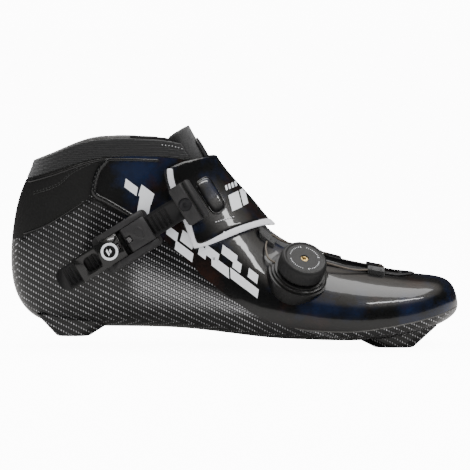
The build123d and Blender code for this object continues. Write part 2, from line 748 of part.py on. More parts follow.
lever_gap = 0.4
lever_half = rail_inner - lever_gap
pin_x, pin_z = lever_pin_at
lever_profile = (
    (pin_x + lever_hub - 0.2, lever_top), (-11, lever_top), (lever_tail, 9.6), (lever_tail, 8.0),
    (-12, tooth_top + 1.4), (-6, tooth_top + 1.0), (pin_x, pin_z - lever_hub), (pin_x + lever_hub, pin_z),
)
with BuildPart() as buckle_lever:
    add(profile_block(lever_profile, lever_half))
    add(pin_hole(lever_pin_at, lever_hub, lever_half))
    add(pin_hole(lever_pin_at, pin_radius + 0.1, lever_half), mode=Mode.SUBTRACT)
    add(pin_hole(lever_pin_at, lever_hub + 0.4, spring_half_slot), mode=Mode.SUBTRACT)
    with BuildSketch(buckle.offset(5)):
        with Locations((-17, 0)):
            RectangleRounded(10, 9, 3)
    extrude(amount=10, mode=Mode.SUBTRACT)


with BuildPart() as lever_badge:
    with BuildSketch(buckle.offset(lever_top)):
        with Locations((-5.0, 0)):
            Circle(badge_radius)
    extrude(amount=badge_thickness)

pawl_x, pawl_z = pawl_pin_at
tooth_tip = tooth_top + running_gap
pawl_profile = (
    (pawl_x, pawl_z + pawl_hub), (pawl_tip - 3, 11.0), (pawl_tip, 10.2), (pawl_tip, tooth_top + 2.0),
    (pawl_tooth_at + 3, tooth_top + 1.6), (pawl_tooth_at + 1.6, tooth_tip), (pawl_tooth_at, tooth_tip),
    (pawl_tooth_at - 1.4, tooth_top + 1.6), (pawl_x, pawl_z - pawl_hub + 0.4),
)
with BuildPart() as release_pawl:
    add(profile_block(pawl_profile, lever_half))
    add(pin_hole(pawl_pin_at, pawl_hub, lever_half))
    add(pin_hole(pawl_pin_at, pin_radius + 0.1, lever_half), mode=Mode.SUBTRACT)
    add(pin_hole(pawl_pin_at, pawl_hub + 0.4, spring_half_slot), mode=Mode.SUBTRACT)


with BuildPart() as lever_pin:
    add(pin_hole(lever_pin_at, pin_radius, rail_outer))

with BuildPart() as pawl_pin:
    add(pin_hole(pawl_pin_at, pin_radius, rail_outer))


def coil(at):
    """A torsion spring's coil round a pin."""
    centre = buckle_profile.from_local_coords(Vector(at[0], at[1], 0))
    pitch = 2 * (spring_half_slot - spring_wire) / spring_turns
    height = pitch * spring_turns
    start = centre - buckle_profile.z_dir * height / 2
    with BuildPart() as spring:
        with BuildLine() as wire:
            Helix(pitch, height, spring_radius, center=start, direction=buckle_profile.z_dir)
        with BuildSketch(Plane(origin=wire.line @ 0, z_dir=wire.line % 0)):
            Circle(spring_wire / 2)
        sweep(is_frenet=True)
    return spring


lever_spring = coil(lever_pin_at)
pawl_spring = coil(pawl_pin_at)

# The holder rides over the instep strap, just clear of it wherever the ladder goes.
holder_start = ladder_end - holder_length + 6.0


def strap_height(distance, side):
    """How far out from the buckle's face the instep strap's piping or panel stands there."""
    start = buckle.from_local_coords(Vector(distance, side, 40))
    point, normal = first_hit(piping_outside, start, -buckle_normal)
    return buckle.to_local_coords(point).Z


holder_rear_at_rest = holder_start - tighten_travel
strap_heights = []
for side in (-holder_half_width, 0, holder_half_width):
    for step in range(4):
        strap_heights.append(strap_height(holder_rear_at_rest + step * 6, side))
holder_foot = min(max(strap_heights) + slide_gap, ladder_bottom)

holder_front = holder_start + holder_length
holder_profile = (
    (holder_start, holder_foot), (holder_front, holder_foot), (holder_front, holder_top - 2.2),
    (holder_front - 2.5, holder_top - 1.2), (holder_front - 4.5, holder_top - 3.0),
    (holder_front - 6, holder_top), (holder_start + 1.2, holder_top), (holder_start, holder_top - 1.2),
)
ladder_slot = (
    (holder_start - 1, ladder_bottom), (ladder_end, ladder_bottom), (ladder_end, tooth_top),
    (holder_start - 1, tooth_top),
)
with BuildPart() as ladder_holder:
    add(profile_block(holder_profile, holder_half_width))
    fillet(ladder_holder.edges().filter_by(Axis(buckle_point, buckle_normal)), 2.0)
    add(profile_block(ladder_slot, ladder_width / 2), mode=Mode.SUBTRACT)
    add(drum(holder_bolt_seat, holder_foot, 20, screw_radius), mode=Mode.SUBTRACT)
    add(drum(holder_bolt_seat, tooth_top + 1.6, 20, screw_head_radius), mode=Mode.SUBTRACT)

ladder_screw = pan_screw(holder_bolt_seat, tooth_top + 1.6, screw_head_radius, screw_head_height,
                         tooth_top + 1.6 - holder_foot)

# ---- Lace guides and the dial's cable --------------------------------------------
def over(x, y, lift=cord_lift):
    """A point above the instep, lifted off the upper."""
    point, normal = first_hit(outside, (place(x, 0)[0], across(y), 2 * far_above), (0, 0, -1))
    return point + normal * lift


def beside(x, z, lift=cord_lift):
    """A point off the outer side of the upper."""
    start_x, start_z = place(x, z)
    point, normal = first_hit(outside, (start_x, -reach, start_z), (0, 1, 0))
    return point + normal * lift


def at_dial(radius, degrees, height):
    turn = radians(degrees)
    return dial_seat.from_local_coords(Vector(radius * cos(turn), radius * sin(turn), height))


guide_outside = boot_form(-guide_height, -guide_height)
cable_route = (
    at_dial(12.6, 38, 2.6), at_dial(19, 38, 2.8), over(-27, -22), over(-17, -18), over(-10, -14),
    over(-7, 0, 1.2), over(-10, 14), over(-17, 18.5), over(-26, 19.5), over(-34, 19), over(-42, 15),
    over(-51, 3, 2.0), over(-61, -8, 2.2),
    over(-70, -14, 2.2), beside(-77, 67.5), beside(-80, 60.5), at_dial(20, 165, 3.2), at_dial(12.6, 165, 2.6),
)


def bend_radii(points, share=0.45):
    """Each arc as large as its two runs allow."""
    radii = []
    for before, corner, after in zip(points, points[1:], points[2:]):
        turn = radians((corner - before).get_angle(after - corner))
        run = min((corner - before).length, (after - corner).length)
        radii.append(run * share / max(sin(turn / 2) / cos(turn / 2), 0.02))
    return radii


cable_bends = bend_radii(cable_route)
print("dial cable: radius", cord_radius, "bends", [round(radius, 1) for radius in cable_bends])
with BuildPart() as dial_cable:
    with BuildLine() as cable_path:
        FilletPolyline(*cable_route, radius=cable_bends)
    with BuildSketch(Plane(origin=cable_path.line @ 0, z_dir=cable_path.line % 0)):
        Circle(cord_radius)
    sweep()
cable_length = sum(edge.length for edge in cable_path.edges())
print("dial cable: length", round(cable_length, 1))

with BuildPart() as cable_room:
    with BuildSketch(Plane(origin=cable_path.line @ 0, z_dir=cable_path.line % 0)):
        Circle(cord_radius + guide_slack)
    sweep(path=cable_path.wires()[0])

with BuildPart() as dial_boss:
    bottom = -boss_steps[0][0] / 2
    for radius, top in boss_steps:
        with BuildSketch(dial_seat.offset(bottom)):
            Circle(radius)
            Circle(housing_radius, mode=Mode.SUBTRACT)
        extrude(amount=top - bottom)
    add(outside, mode=Mode.SUBTRACT)
    add(cable_room.part, mode=Mode.SUBTRACT)

guide_room = guide_outside - outside


def lace_guide(centre, length, width):
    """A webbing loop sewn on the upper, with the cable running through it."""
    plane = Plane(origin=centre, z_dir=(0, 0, 1))
    with BuildPart() as guide:
        with BuildSketch(plane.offset(-guide_width)):
            RectangleRounded(length, width, 2)
        extrude(amount=2 * guide_width)
        add(guide_room, mode=Mode.INTERSECT)
        add(cable_room.part, mode=Mode.SUBTRACT)
    return guide


lace_guide_front = lace_guide(over(-12.5, -16.5, 0), 10, guide_width)
lace_guide_front_inner = lace_guide(over(-12.5, 16.5, 0), 10, guide_width)
lace_guide_middle_inner = lace_guide(over(-38, 18.5, 0), 11, guide_width)
lace_guide_rear = lace_guide(beside(-78, 64.5, 0), 9, 6)

with BuildPart() as eyestay_trim:
    add(trim_outside)
    add(outside, mode=Mode.SUBTRACT)
    add(throat_slot(eyestay_width, throat_front - throat_half_front * 0.6), mode=Mode.INTERSECT)
    add(throat, mode=Mode.SUBTRACT)
    with BuildSketch(Plane.YZ.offset(place(-62, 0)[0])):
        Rectangle(4 * reach, 4 * reach)
    extrude(amount=reach * 2, mode=Mode.INTERSECT)
    for guide in (lace_guide_front, lace_guide_front_inner, lace_guide_middle_inner, dial_boss, cable_room):
        add(guide.part, mode=Mode.SUBTRACT)


# ---- Labels and files ----------------------------------------------------------
os.makedirs("parts", exist_ok=True)
nodes = {
    "carbon_shell": carbon_shell,
    "toe_insert": toe_insert,
    "heel_insert": heel_insert,
    "footbed": footbed,
    "lining": lining,
    "quarter": quarter,
    "heel_panel": heel_panel,
    "collar_band": collar_band,
    "seam_trim": seam_trim,
    "tongue": tongue,
    "tongue_flap": tongue_flap,
    "eyestay_trim": eyestay_trim,
    "instep_strap": instep_strap,
    "strap_piping": strap_piping,
    "strap_anchor_screw": strap_anchor_screw,
    "strap_anchor_nut": strap_anchor_nut,
    "dial_boss": dial_boss,
    "dial_housing": dial_housing,
    "dial_spool": dial_spool,
    "dial_clutch_ring": dial_clutch_ring,
    "dial_grip": dial_grip,
    "dial_cap": dial_cap,
    "dial_screw": dial_screw,
    "dial_cable": dial_cable,
    "lace_guide_front": lace_guide_front,
    "lace_guide_front_inner": lace_guide_front_inner,
    "lace_guide_middle_inner": lace_guide_middle_inner,
    "lace_guide_rear": lace_guide_rear,
    "buckle_pad": buckle_pad,
    "buckle_base": buckle_base,
    "buckle_screw": buckle_screw,
    "buckle_t_nut": buckle_t_nut,
    "buckle_lever": buckle_lever,
    "lever_badge": lever_badge,
    "lever_pin": lever_pin,
    "lever_spring": lever_spring,
    "release_pawl": release_pawl,
    "pawl_pin": pawl_pin,
    "pawl_spring": pawl_spring,
    "ladder_strap": ladder_strap,
    "ladder_holder": ladder_holder,
    "ladder_screw": ladder_screw,
}
for name, node in nodes.items():
    node.part.label = name
    export_step(node.part, f"parts/{name}.step")
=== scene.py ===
# %% [markdown]
# # A speed skate boot
# The real boot is a carbon shell with a glossy upper bonded over it.  A dial winds a
# cable over the instep, and a ratchet strap closes the ankle.  Its pieces could be
# modelled here from nothing, but the engineering model already gives every part its
# place and its motion.  So this lesson dresses that model, and nothing clips when the
# joints move.

import json
import math
import random

import bmesh
import bpy
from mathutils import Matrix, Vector
from mathutils.bvhtree import BVHTree


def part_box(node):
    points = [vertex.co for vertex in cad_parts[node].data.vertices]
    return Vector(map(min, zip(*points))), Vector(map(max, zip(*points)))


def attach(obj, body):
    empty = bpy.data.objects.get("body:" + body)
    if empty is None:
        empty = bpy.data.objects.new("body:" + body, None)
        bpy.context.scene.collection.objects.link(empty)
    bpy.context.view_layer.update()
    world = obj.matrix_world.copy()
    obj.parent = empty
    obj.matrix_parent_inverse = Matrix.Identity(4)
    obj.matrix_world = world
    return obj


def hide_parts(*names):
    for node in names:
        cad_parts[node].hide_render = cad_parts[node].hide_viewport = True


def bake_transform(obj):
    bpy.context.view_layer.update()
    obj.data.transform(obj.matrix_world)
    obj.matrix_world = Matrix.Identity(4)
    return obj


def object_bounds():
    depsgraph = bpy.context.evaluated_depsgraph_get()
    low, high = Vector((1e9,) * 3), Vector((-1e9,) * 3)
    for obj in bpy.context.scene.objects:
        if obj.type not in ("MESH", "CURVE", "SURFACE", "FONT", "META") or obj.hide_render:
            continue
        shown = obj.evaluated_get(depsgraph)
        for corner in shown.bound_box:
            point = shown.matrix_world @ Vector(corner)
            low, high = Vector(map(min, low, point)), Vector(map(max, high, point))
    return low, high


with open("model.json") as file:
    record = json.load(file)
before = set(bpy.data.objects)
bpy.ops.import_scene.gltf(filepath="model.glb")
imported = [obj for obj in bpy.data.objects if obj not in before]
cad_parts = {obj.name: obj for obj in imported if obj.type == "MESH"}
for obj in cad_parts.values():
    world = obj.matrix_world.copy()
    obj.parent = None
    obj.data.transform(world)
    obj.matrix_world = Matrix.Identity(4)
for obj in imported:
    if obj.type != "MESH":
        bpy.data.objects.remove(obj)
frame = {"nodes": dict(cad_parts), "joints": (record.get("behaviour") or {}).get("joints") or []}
cad_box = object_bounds()
nodes = frame["nodes"]
joints = {joint["name"]: joint for joint in frame["joints"]}
scene = bpy.context.scene
mm = 0.001
print("parts:", len(nodes), "joints:", sorted(joints))


# %% [markdown]
# ## Node helpers
# Every finish below is a small network of shader nodes.  It could be wired by hand in
# the editor.  In a script it stays readable when one helper fills sockets, one adds
# nodes and one chains maths.  A socket takes a number or another node's output.

# %% Helpers that fill sockets
def put(tree, socket, value):
    """Fill a socket with a number, a colour or another node's output."""
    if isinstance(value, bpy.types.NodeSocket):
        tree.links.new(value, socket)
    else:
        socket.default_value = value


def add_node(tree, kind, inputs=(), **settings):
    """Add a node, set its properties, and fill its inputs by name or number."""
    made = tree.nodes.new(kind)
    for key, value in settings.items():
        setattr(made, key, value)
    for key, value in dict(inputs).items():
        put(tree, made.inputs[key], value)
    return made


def maths(tree, operation, first, second=0.0, third=0.0):
    """One maths node's result."""
    made = tree.nodes.new("ShaderNodeMath")
    made.operation = operation
    for number, value in enumerate((first, second, third)):
        if number < len(made.inputs):
            put(tree, made.inputs[number], value)
    return made.outputs[0]


print("socket helpers: put, add_node, maths")


# %% [markdown]
# A colour ramp turns a value into colours.  A node group is a network with named
# inputs and outputs that many finishes share.  Copying the same nodes into each finish
# would work too, but a group is corrected in one place.

# %% Helpers for ramps and shared groups
FLOAT = "NodeSocketFloat"
VECTOR = "NodeSocketVector"


def ramp(tree, value, stops):
    """Colours or greys along a value from 0 to 1."""
    made = add_node(tree, "ShaderNodeValToRGB", {"Fac": value})
    elements = made.color_ramp.elements
    while len(elements) < len(stops):
        elements.new(0.5)
    for element, (place, colour) in zip(elements, stops):
        element.position = place
        element.color = (*colour, 1.0)
    return made.outputs["Color"]


def new_group(name, inputs, outputs):
    """A node group with named sockets: (name, kind, default)."""
    tree = bpy.data.node_groups.new(name, "ShaderNodeTree")
    for socket_name, kind, default in inputs:
        socket = tree.interface.new_socket(socket_name, in_out="INPUT", socket_type=kind)
        if default is not None:
            socket.default_value = default
    for socket_name, kind in outputs:
        tree.interface.new_socket(socket_name, in_out="OUTPUT", socket_type=kind)
    return tree, tree.nodes.new("NodeGroupInput").outputs, tree.nodes.new("NodeGroupOutput").inputs


print("group helpers: ramp, new_group")

# %% [markdown]
# ## Shared effects
# Four effects turn up on more than one finish: a moulded grain, smudges, a woven twill
# and parallel ribs.  Each is a group on the object's own coordinates, in metres, so a
# weave has the same thread size on every piece and nothing needs unwrapping.
#
# The grain comes first.  Moulded plastic and rubber copy the etched skin of their mould,
# a fine eggshell.  A noise alone looks cloudy, so small rounded cells are added for pits.

# %% Moulded grain
grain_group, at, out = new_group(
    "moulded grain",
    [("Position", VECTOR, None), ("Size", FLOAT, 0.0004)],
    [("Height", FLOAT), ("Speckle", FLOAT)],
)
grain_scale = maths(grain_group, "DIVIDE", 1.0, at["Size"])
grain_place = {"Vector": at["Position"], "Scale": grain_scale}
coarse = add_node(grain_group, "ShaderNodeTexNoise", {**grain_place, "Detail": 2.0}).outputs[0]
pits = add_node(grain_group, "ShaderNodeTexVoronoi", grain_place).outputs["Distance"]
pit_share = 0.6
put(grain_group, out["Height"], maths(grain_group, "MULTIPLY_ADD", pits, pit_share, coarse))
put(grain_group, out["Speckle"], maths(grain_group, "POWER", coarse, 3.0))
print("effect:", grain_group.name)

# %% [markdown]
# Handling leaves broad patches where a gloss is a little duller, and fine marks inside
# them.  The same patches also place painted light: the carbon's painted glints and the
# patent's painted reflection tints.  Both are noises, one at the patch's size and one 22
# times finer, which is simpler than painting them and never repeats.

# %% Smudges
smudge_and_sheen_group, at, out = new_group(
    "smudges", [("Position", VECTOR, None), ("Size", FLOAT, 0.03)], [("Amount", FLOAT), ("Fine", FLOAT)]
)
marks_per_patch = 22.0
patch_scale = maths(smudge_and_sheen_group, "DIVIDE", 1.0, at["Size"])
mark_scale = maths(smudge_and_sheen_group, "DIVIDE", marks_per_patch, at["Size"])
patch_inputs = {"Vector": at["Position"], "Scale": patch_scale, "Detail": 4.0, "Roughness": 0.6}
mark_inputs = {"Vector": at["Position"], "Scale": mark_scale, "Detail": 3.0}
put(smudge_and_sheen_group, out["Amount"], add_node(smudge_and_sheen_group, "ShaderNodeTexNoise", patch_inputs).outputs[0])
put(smudge_and_sheen_group, out["Fine"], add_node(smudge_and_sheen_group, "ShaderNodeTexNoise", mark_inputs).outputs[0])
print("effect:", smudge_and_sheen_group.name)

# %% [markdown]
# Twill is two sets of flat tows that cross at right angles, each going over two and
# under two, one step on from its neighbour.  That stepping draws the diagonal lines of
# carbon cloth.  Modelling each tow would take millions of faces.  The group works out
# which cell of the cloth a point lies in, and whether the upright or the level tow is
# on top there.

# %% Twill cloth: which tow is on top
twill_group, at, out = new_group(
    "twill cloth",
    [("Across", FLOAT, 0.0), ("Along", FLOAT, 0.0), ("Tow", FLOAT, 0.0016)],
    [("Height", FLOAT), ("Upright", FLOAT), ("Cell", VECTOR)],
)
tows_to_repeat = 4.0
u = maths(twill_group, "DIVIDE", at["Across"], at["Tow"])
v = maths(twill_group, "DIVIDE", at["Along"], at["Tow"])
u_cell = maths(twill_group, "FLOOR", u)
v_cell = maths(twill_group, "FLOOR", v)
step = maths(twill_group, "FLOORED_MODULO", maths(twill_group, "ADD", u_cell, v_cell), tows_to_repeat)
upright = maths(twill_group, "LESS_THAN", step, 1.5)
level = maths(twill_group, "SUBTRACT", 1.0, upright)
cell = add_node(twill_group, "ShaderNodeCombineXYZ", {"X": u_cell, "Y": v_cell, "Z": upright}).outputs[0]
put(twill_group, out["Upright"], upright)
put(twill_group, out["Cell"], cell)
print("twill repeats every", tows_to_repeat, "tows")


# %% [markdown]
# A tow that floats over two others arches along its length and is rounded across it.
# Half a sine wave each way gives that pillow, and the two sets are joined by the mask
# that says which one is on top.

# %% Twill cloth: how high each tow arches
def half_wave(phase):
    """A hump that is 0 at phase 0, 1 in the middle and 0 again at phase 1."""
    return maths(twill_group, "SINE", maths(twill_group, "MULTIPLY", phase, math.pi))


u_part = maths(twill_group, "FRACT", u)
v_part = maths(twill_group, "FRACT", v)
along_upright = maths(twill_group, "MULTIPLY", maths(twill_group, "ADD", step, v_part), 0.5)
level_step = maths(twill_group, "SUBTRACT", step, 2.0)
along_level = maths(twill_group, "MULTIPLY", maths(twill_group, "ADD", level_step, u_part), 0.5)
upright_hump = maths(twill_group, "MULTIPLY", half_wave(u_part), half_wave(along_upright))
level_hump = maths(twill_group, "MULTIPLY", half_wave(v_part), half_wave(along_level))
level_arch = maths(twill_group, "MULTIPLY", level_hump, level)
put(twill_group, out["Height"], maths(twill_group, "MULTIPLY_ADD", upright_hump, upright, level_arch))
print("effect:", twill_group.name)

# %% [markdown]
# A knitted collar and a corded webbing have parallel cords.  One sine wave along a
# direction draws them; a pitch input sets how far apart they stand.

# %% Ribs
rib_group, at, out = new_group("ribs", [("Along", FLOAT, 0.0), ("Pitch", FLOAT, 0.001)], [("Height", FLOAT)])
rib_phase = maths(rib_group, "MULTIPLY", maths(rib_group, "DIVIDE", at["Along"], at["Pitch"]), math.tau)
put(rib_group, out["Height"], maths(rib_group, "MULTIPLY_ADD", maths(rib_group, "SINE", rib_phase), 0.5, 0.5))
print("shared effects:", [tree.name for tree in bpy.data.node_groups])

# %% [markdown]
# ## Finishes
# A finish starts the same way each time: one Principled shader, the object's own
# coordinates, and any value that is even all over set on the shader's own socket.
# Node trees could be written out in full for each, but then they would drift apart.

# %% The start of every finish
finishes = {}


def new_finish(name, **settings):
    """A Principled material; returns its tree, shader and position socket."""
    material = bpy.data.materials.new(name)
    material.use_nodes = True
    tree = material.node_tree
    shader = tree.nodes["Principled BSDF"]
    for key, value in settings.items():
        shader.inputs[key.replace("_", " ")].default_value = value
    position = add_node(tree, "ShaderNodeTexCoord").outputs["Object"]
    finishes[name] = material
    return tree, shader, position


def effect(tree, group, **inputs):
    """Place a shared effect in a finish with its own values."""
    made = tree.nodes.new("ShaderNodeGroup")
    made.node_tree = group
    for key, value in inputs.items():
        put(tree, made.inputs[key], value)
    return made.outputs


print("finish helpers: new_finish, effect")


# %% [markdown]
# Three more helpers say how an effect reaches the shader: as a tilt of the surface, as a
# mask that starts past some value, or as a blend of two colours.

# %% Bumps, masks and blends
def bump(tree, shader, height, strength, distance):
    """Turn a height into a tilt of the surface; distance in metres."""
    made = add_node(tree, "ShaderNodeBump", {"Strength": strength, "Distance": distance, "Height": height})
    tree.links.new(made.outputs[0], shader.inputs["Normal"])


def clamped(tree, value):
    """A value kept between 0 and 1."""
    return maths(tree, "MINIMUM", maths(tree, "MAXIMUM", value, 0.0), 1.0)


def threshold(tree, value, start, gain):
    """How far a value is past a start, from 0 to 1."""
    return clamped(tree, maths(tree, "MULTIPLY", maths(tree, "SUBTRACT", value, start), gain))


def mixed_colour(tree, share, first, second):
    """A colour between two, by a share from 0 to 1."""
    made = tree.nodes.new("ShaderNodeMix")
    made.data_type = "RGBA"
    put(tree, made.inputs["Factor"], share)
    for socket, value in zip([socket for socket in made.inputs if socket.type == "RGBA"], (first, second)):
        put(tree, socket, value)
    return [socket for socket in made.outputs if socket.type == "RGBA"][0]


print("surface helpers: bump, clamped, threshold, mixed_colour")

# %% [markdown]
# ### Carbon cloth under clear resin
# The tows lie in black resin, and a few catch the light and glint silver.  The cloth is
# laid from the side, from behind at the heel and from below under the sole, so the
# finish picks its two directions from the way the surface faces.  An unwrap would show a
# seam at each of those turns; picking a direction hides it in the weave.

# %% Carbon cloth: lay the weave
tow_width = 0.00125
weave_lean = 0.32
tree, shader, position = new_finish(
    "carbon_cloth", Roughness=0.34, Metallic=0.65, Coat_Weight=1.0, Coat_Roughness=0.06, Coat_IOR=1.5
)
place = add_node(tree, "ShaderNodeSeparateXYZ", {"Vector": position}).outputs
facing = add_node(tree, "ShaderNodeNewGeometry").outputs["Normal"]
facing = add_node(tree, "ShaderNodeSeparateXYZ", {"Vector": facing}).outputs
under_foot = maths(tree, "GREATER_THAN", maths(tree, "ABSOLUTE", facing["Z"]), 0.86)
behind = maths(tree, "GREATER_THAN", maths(tree, "ABSOLUTE", facing["X"]), 0.8)
side_across = maths(tree, "MULTIPLY_ADD", behind, place["Y"], place["X"])
along = maths(tree, "MULTIPLY_ADD", under_foot, place["Y"], place["Z"])
across = maths(tree, "MULTIPLY_ADD", along, weave_lean, side_across)
climb = maths(tree, "MULTIPLY_ADD", place["X"], -weave_lean, along)
cloth = effect(tree, twill_group, Across=across, Along=climb, Tow=tow_width)
patch = effect(tree, smudge_and_sheen_group, Position=position, Size=0.02)
print("carbon tow:", tow_width / mm, "mm")

# %% [markdown]
# Only the upright tows glint, each by its own chance amount, and more in some patches
# than in others.  The glints are painted highlights in the base colour.  One even silver
# weave would look printed.

# %% Carbon cloth: painted glints
glint = add_node(tree, "ShaderNodeTexWhiteNoise", {"Vector": cloth["Cell"]}).outputs["Value"]
crest = maths(tree, "POWER", cloth["Height"], 3.0)
upright_glint = maths(tree, "MULTIPLY", crest, cloth["Upright"])
lustre = maths(tree, "MULTIPLY_ADD", glint, 0.7, 0.55)
patchy = maths(tree, "MAXIMUM", maths(tree, "MULTIPLY_ADD", patch["Amount"], 2.0, -0.3), 0.12)
# painted highlight: the glints lighten the base colour
painted_shine = maths(tree, "MULTIPLY", maths(tree, "MULTIPLY", upright_glint, lustre), patchy)
print("glint nodes in the carbon:", len(tree.nodes))

# %% [markdown]
# A long silver wedge on the outer side, which narrows towards the heel, is a painted
# reflection of the bright floor in front, lifted into the base colour.  It is a mask
# between two straight lines on the outer side, so it stays put as the boot turns, as a
# light's reflection wouldn't.

# %% Carbon cloth: the painted reflection wedge, and the colours of the tows
# painted reflection: a silver wedge in the base colour on the outer side
wedge_slope, wedge_level = -0.30, -0.0035
spread_slope, spread_level, least_spread = -0.21, -0.0165, 0.0015
wedge_line = maths(tree, "MULTIPLY_ADD", place["X"], wedge_slope, wedge_level)
off_line = maths(tree, "ABSOLUTE", maths(tree, "SUBTRACT", place["Z"], wedge_line))
spread = maths(tree, "MULTIPLY_ADD", place["X"], spread_slope, spread_level)
spread = maths(tree, "MAXIMUM", spread, least_spread)
painted_reflection = maths(tree, "SUBTRACT", 1.25, maths(tree, "DIVIDE", off_line, spread))
painted_reflection = maths(tree, "MULTIPLY", painted_reflection, threshold(tree, place["X"], -0.163, 90.0))
painted_reflection = clamped(tree, maths(tree, "MULTIPLY", painted_reflection, maths(tree, "LESS_THAN", place["Y"], 0.0)))
painted_reflection = maths(tree, "MULTIPLY", painted_reflection, maths(tree, "MULTIPLY_ADD", patch["Fine"], 0.5, 0.1))
# the painted reflection joins the painted glints in the base colour
painted_shine = maths(tree, "MULTIPLY_ADD", painted_reflection, maths(tree, "MULTIPLY_ADD", cloth["Height"], 0.9, 0.25), painted_shine)
# tow crests are painted lighter than the hollows between them, a painted shade
tone = maths(tree, "ADD", painted_shine, maths(tree, "MULTIPLY", cloth["Height"], 0.12))
# the lightest stops are the colours of the painted glints and the painted reflection
tow_and_highlight_colours = [
    (0.0, (0.0025, 0.0025, 0.003)), (0.10, (0.02, 0.02, 0.021)),
    (0.3, (0.2, 0.2, 0.21)), (0.8, (0.85, 0.85, 0.87)),
]
put(tree, shader.inputs["Base Color"], ramp(tree, tone, tow_and_highlight_colours))
put(tree, shader.inputs["Roughness"], maths(tree, "MULTIPLY_ADD", patch["Fine"], 0.16, 0.26))
bump(tree, shader, cloth["Height"], 0.5, 0.0002)
print("finish: carbon_cloth,", len(tree.nodes), "nodes")

# %% [markdown]
# ### Patent upper
# A thin clear film over a black base.  Its blue and orange reflection tints are painted
# into the black base colour as faint navy and orange clouds.  A thin-film setting would
# tint every reflection alike; two masks of slow noise keep the tints in patches.

# %% Patent upper
black, reflection_blue, reflection_orange = (0.0022, 0.0022, 0.0025, 1), (0.0025, 0.010, 0.040, 1), (0.018, 0.005, 0.0022, 1)
tree, shader, position = new_finish(
    "patent_upper",
    Roughness=0.30, Coat_Weight=1.0, Coat_Roughness=0.035, Coat_IOR=1.55, Specular_IOR_Level=0.4,
)
clouds = effect(tree, smudge_and_sheen_group, Position=position, Size=0.034)
shifted = {0: position, 1: (0.31, 0.12, 0.47)}
elsewhere = add_node(tree, "ShaderNodeVectorMath", shifted, operation="ADD").outputs[0]
other_clouds = effect(tree, smudge_and_sheen_group, Position=elsewhere, Size=0.026)
# painted reflection: blue and orange clouds in the base colour
painted_blue_tint = threshold(tree, clouds["Amount"], 0.50, 6.0)
painted_orange_tint = threshold(tree, other_clouds["Amount"], 0.55, 6.0)
bluish = mixed_colour(tree, painted_blue_tint, black, reflection_blue)
put(tree, shader.inputs["Base Color"], mixed_colour(tree, painted_orange_tint, bluish, reflection_orange))
put(tree, shader.inputs["Roughness"], maths(tree, "MULTIPLY_ADD", clouds["Fine"], 0.12, 0.24))
ripple = add_node(tree, "ShaderNodeTexNoise", {"Vector": position, "Scale": 55.0, "Detail": 1.5}).outputs[0]
bump(tree, shader, ripple, 0.25, 0.0006)
print("finish: patent_upper,", len(tree.nodes), "nodes")


# %% [markdown]
# ### Moulded and grained finishes
# The plainer finishes share a recipe: a base tone, a roughness, and a moulded grain.
# How fine and how deep the grain is tells rubber from moulded nylon from a microfibre,
# so one function with those as its inputs makes them all.

# %% The recipe for a grained finish
def grey(level):
    """An even grey."""
    return (level, level, level)


def grained_finish(name, tone, tone_spread, grain_size, depth, strength, **settings):
    """A near-even finish with a grain; tone_spread is how far smudges lift the tone."""
    tree, shader, position = new_finish(name, **settings)
    grain = effect(tree, grain_group, Position=position, Size=grain_size)
    worn = effect(tree, smudge_and_sheen_group, Position=position, Size=0.018)
    light = tuple(min(1.0, part * tone_spread) for part in tone)
    mixed = maths(tree, "MULTIPLY_ADD", grain["Speckle"], 0.5, maths(tree, "MULTIPLY", worn["Amount"], 0.6))
    put(tree, shader.inputs["Base Color"], ramp(tree, mixed, [(0.15, tone), (0.75, light)]))
    even_roughness = shader.inputs["Roughness"].default_value
    dulled = maths(tree, "MULTIPLY_ADD", worn["Fine"], 0.14, even_roughness - 0.07)
    put(tree, shader.inputs["Roughness"], dulled)
    bump(tree, shader, grain["Height"], strength, depth)


print("recipe: grained_finish")

# %% [markdown]
# The dark ones first.  Nearly every part of the boot is black, so what separates them is
# a small step in tone, in roughness and in the grain's size.

# %% Black rubber, nylon and microfibre
grained_finish("matte_panel", grey(0.0045), 2.1, 0.0007, 0.00012, 0.5, Roughness=0.52)
grained_finish("dial_rubber", grey(0.009), 2.0, 0.0003, 0.00006, 0.4, Roughness=0.56)
grained_finish("dial_face", grey(0.011), 1.8, 0.0004, 0.00004, 0.3, Roughness=0.5)
grained_finish("buckle_nylon", (0.021, 0.0205, 0.021), 1.9, 0.00028, 0.00005, 0.4, Roughness=0.46)
grained_finish("ladder_nylon", (0.007, 0.007, 0.0075), 1.9, 0.0003, 0.00003, 0.3, Roughness=0.36)
grained_finish("boss_rubber", grey(0.004), 2.0, 0.0004, 0.00004, 0.3, Roughness=0.3)
grained_finish("eyestay_leather", (0.016, 0.016, 0.017), 1.9, 0.0006, 0.0001, 0.5, Roughness=0.5)
grained_finish("footbed_cloth", (0.03, 0.03, 0.032), 1.8, 0.0008, 0.0001, 0.5, Roughness=0.9)
polish = {"Roughness": 0.24, "Coat_Weight": 1.0, "Coat_Roughness": 0.05}
grained_finish("polished_black", grey(0.006), 1.6, 0.0012, 0.00002, 0.15, **polish)
gloss = {"Roughness": 0.26, "Coat_Weight": 0.8, "Coat_Roughness": 0.08}
grained_finish("gloss_trim", (0.0035, 0.0035, 0.004), 2.0, 0.0011, 0.00008, 0.35, **gloss)
print("finishes so far:", len(finishes))

# %% [markdown]
# Screws, pins, springs and inserts are steel, the dial's screw is brass, and the prints
# are white ink.  The same recipe serves, with Metallic set on the shader.

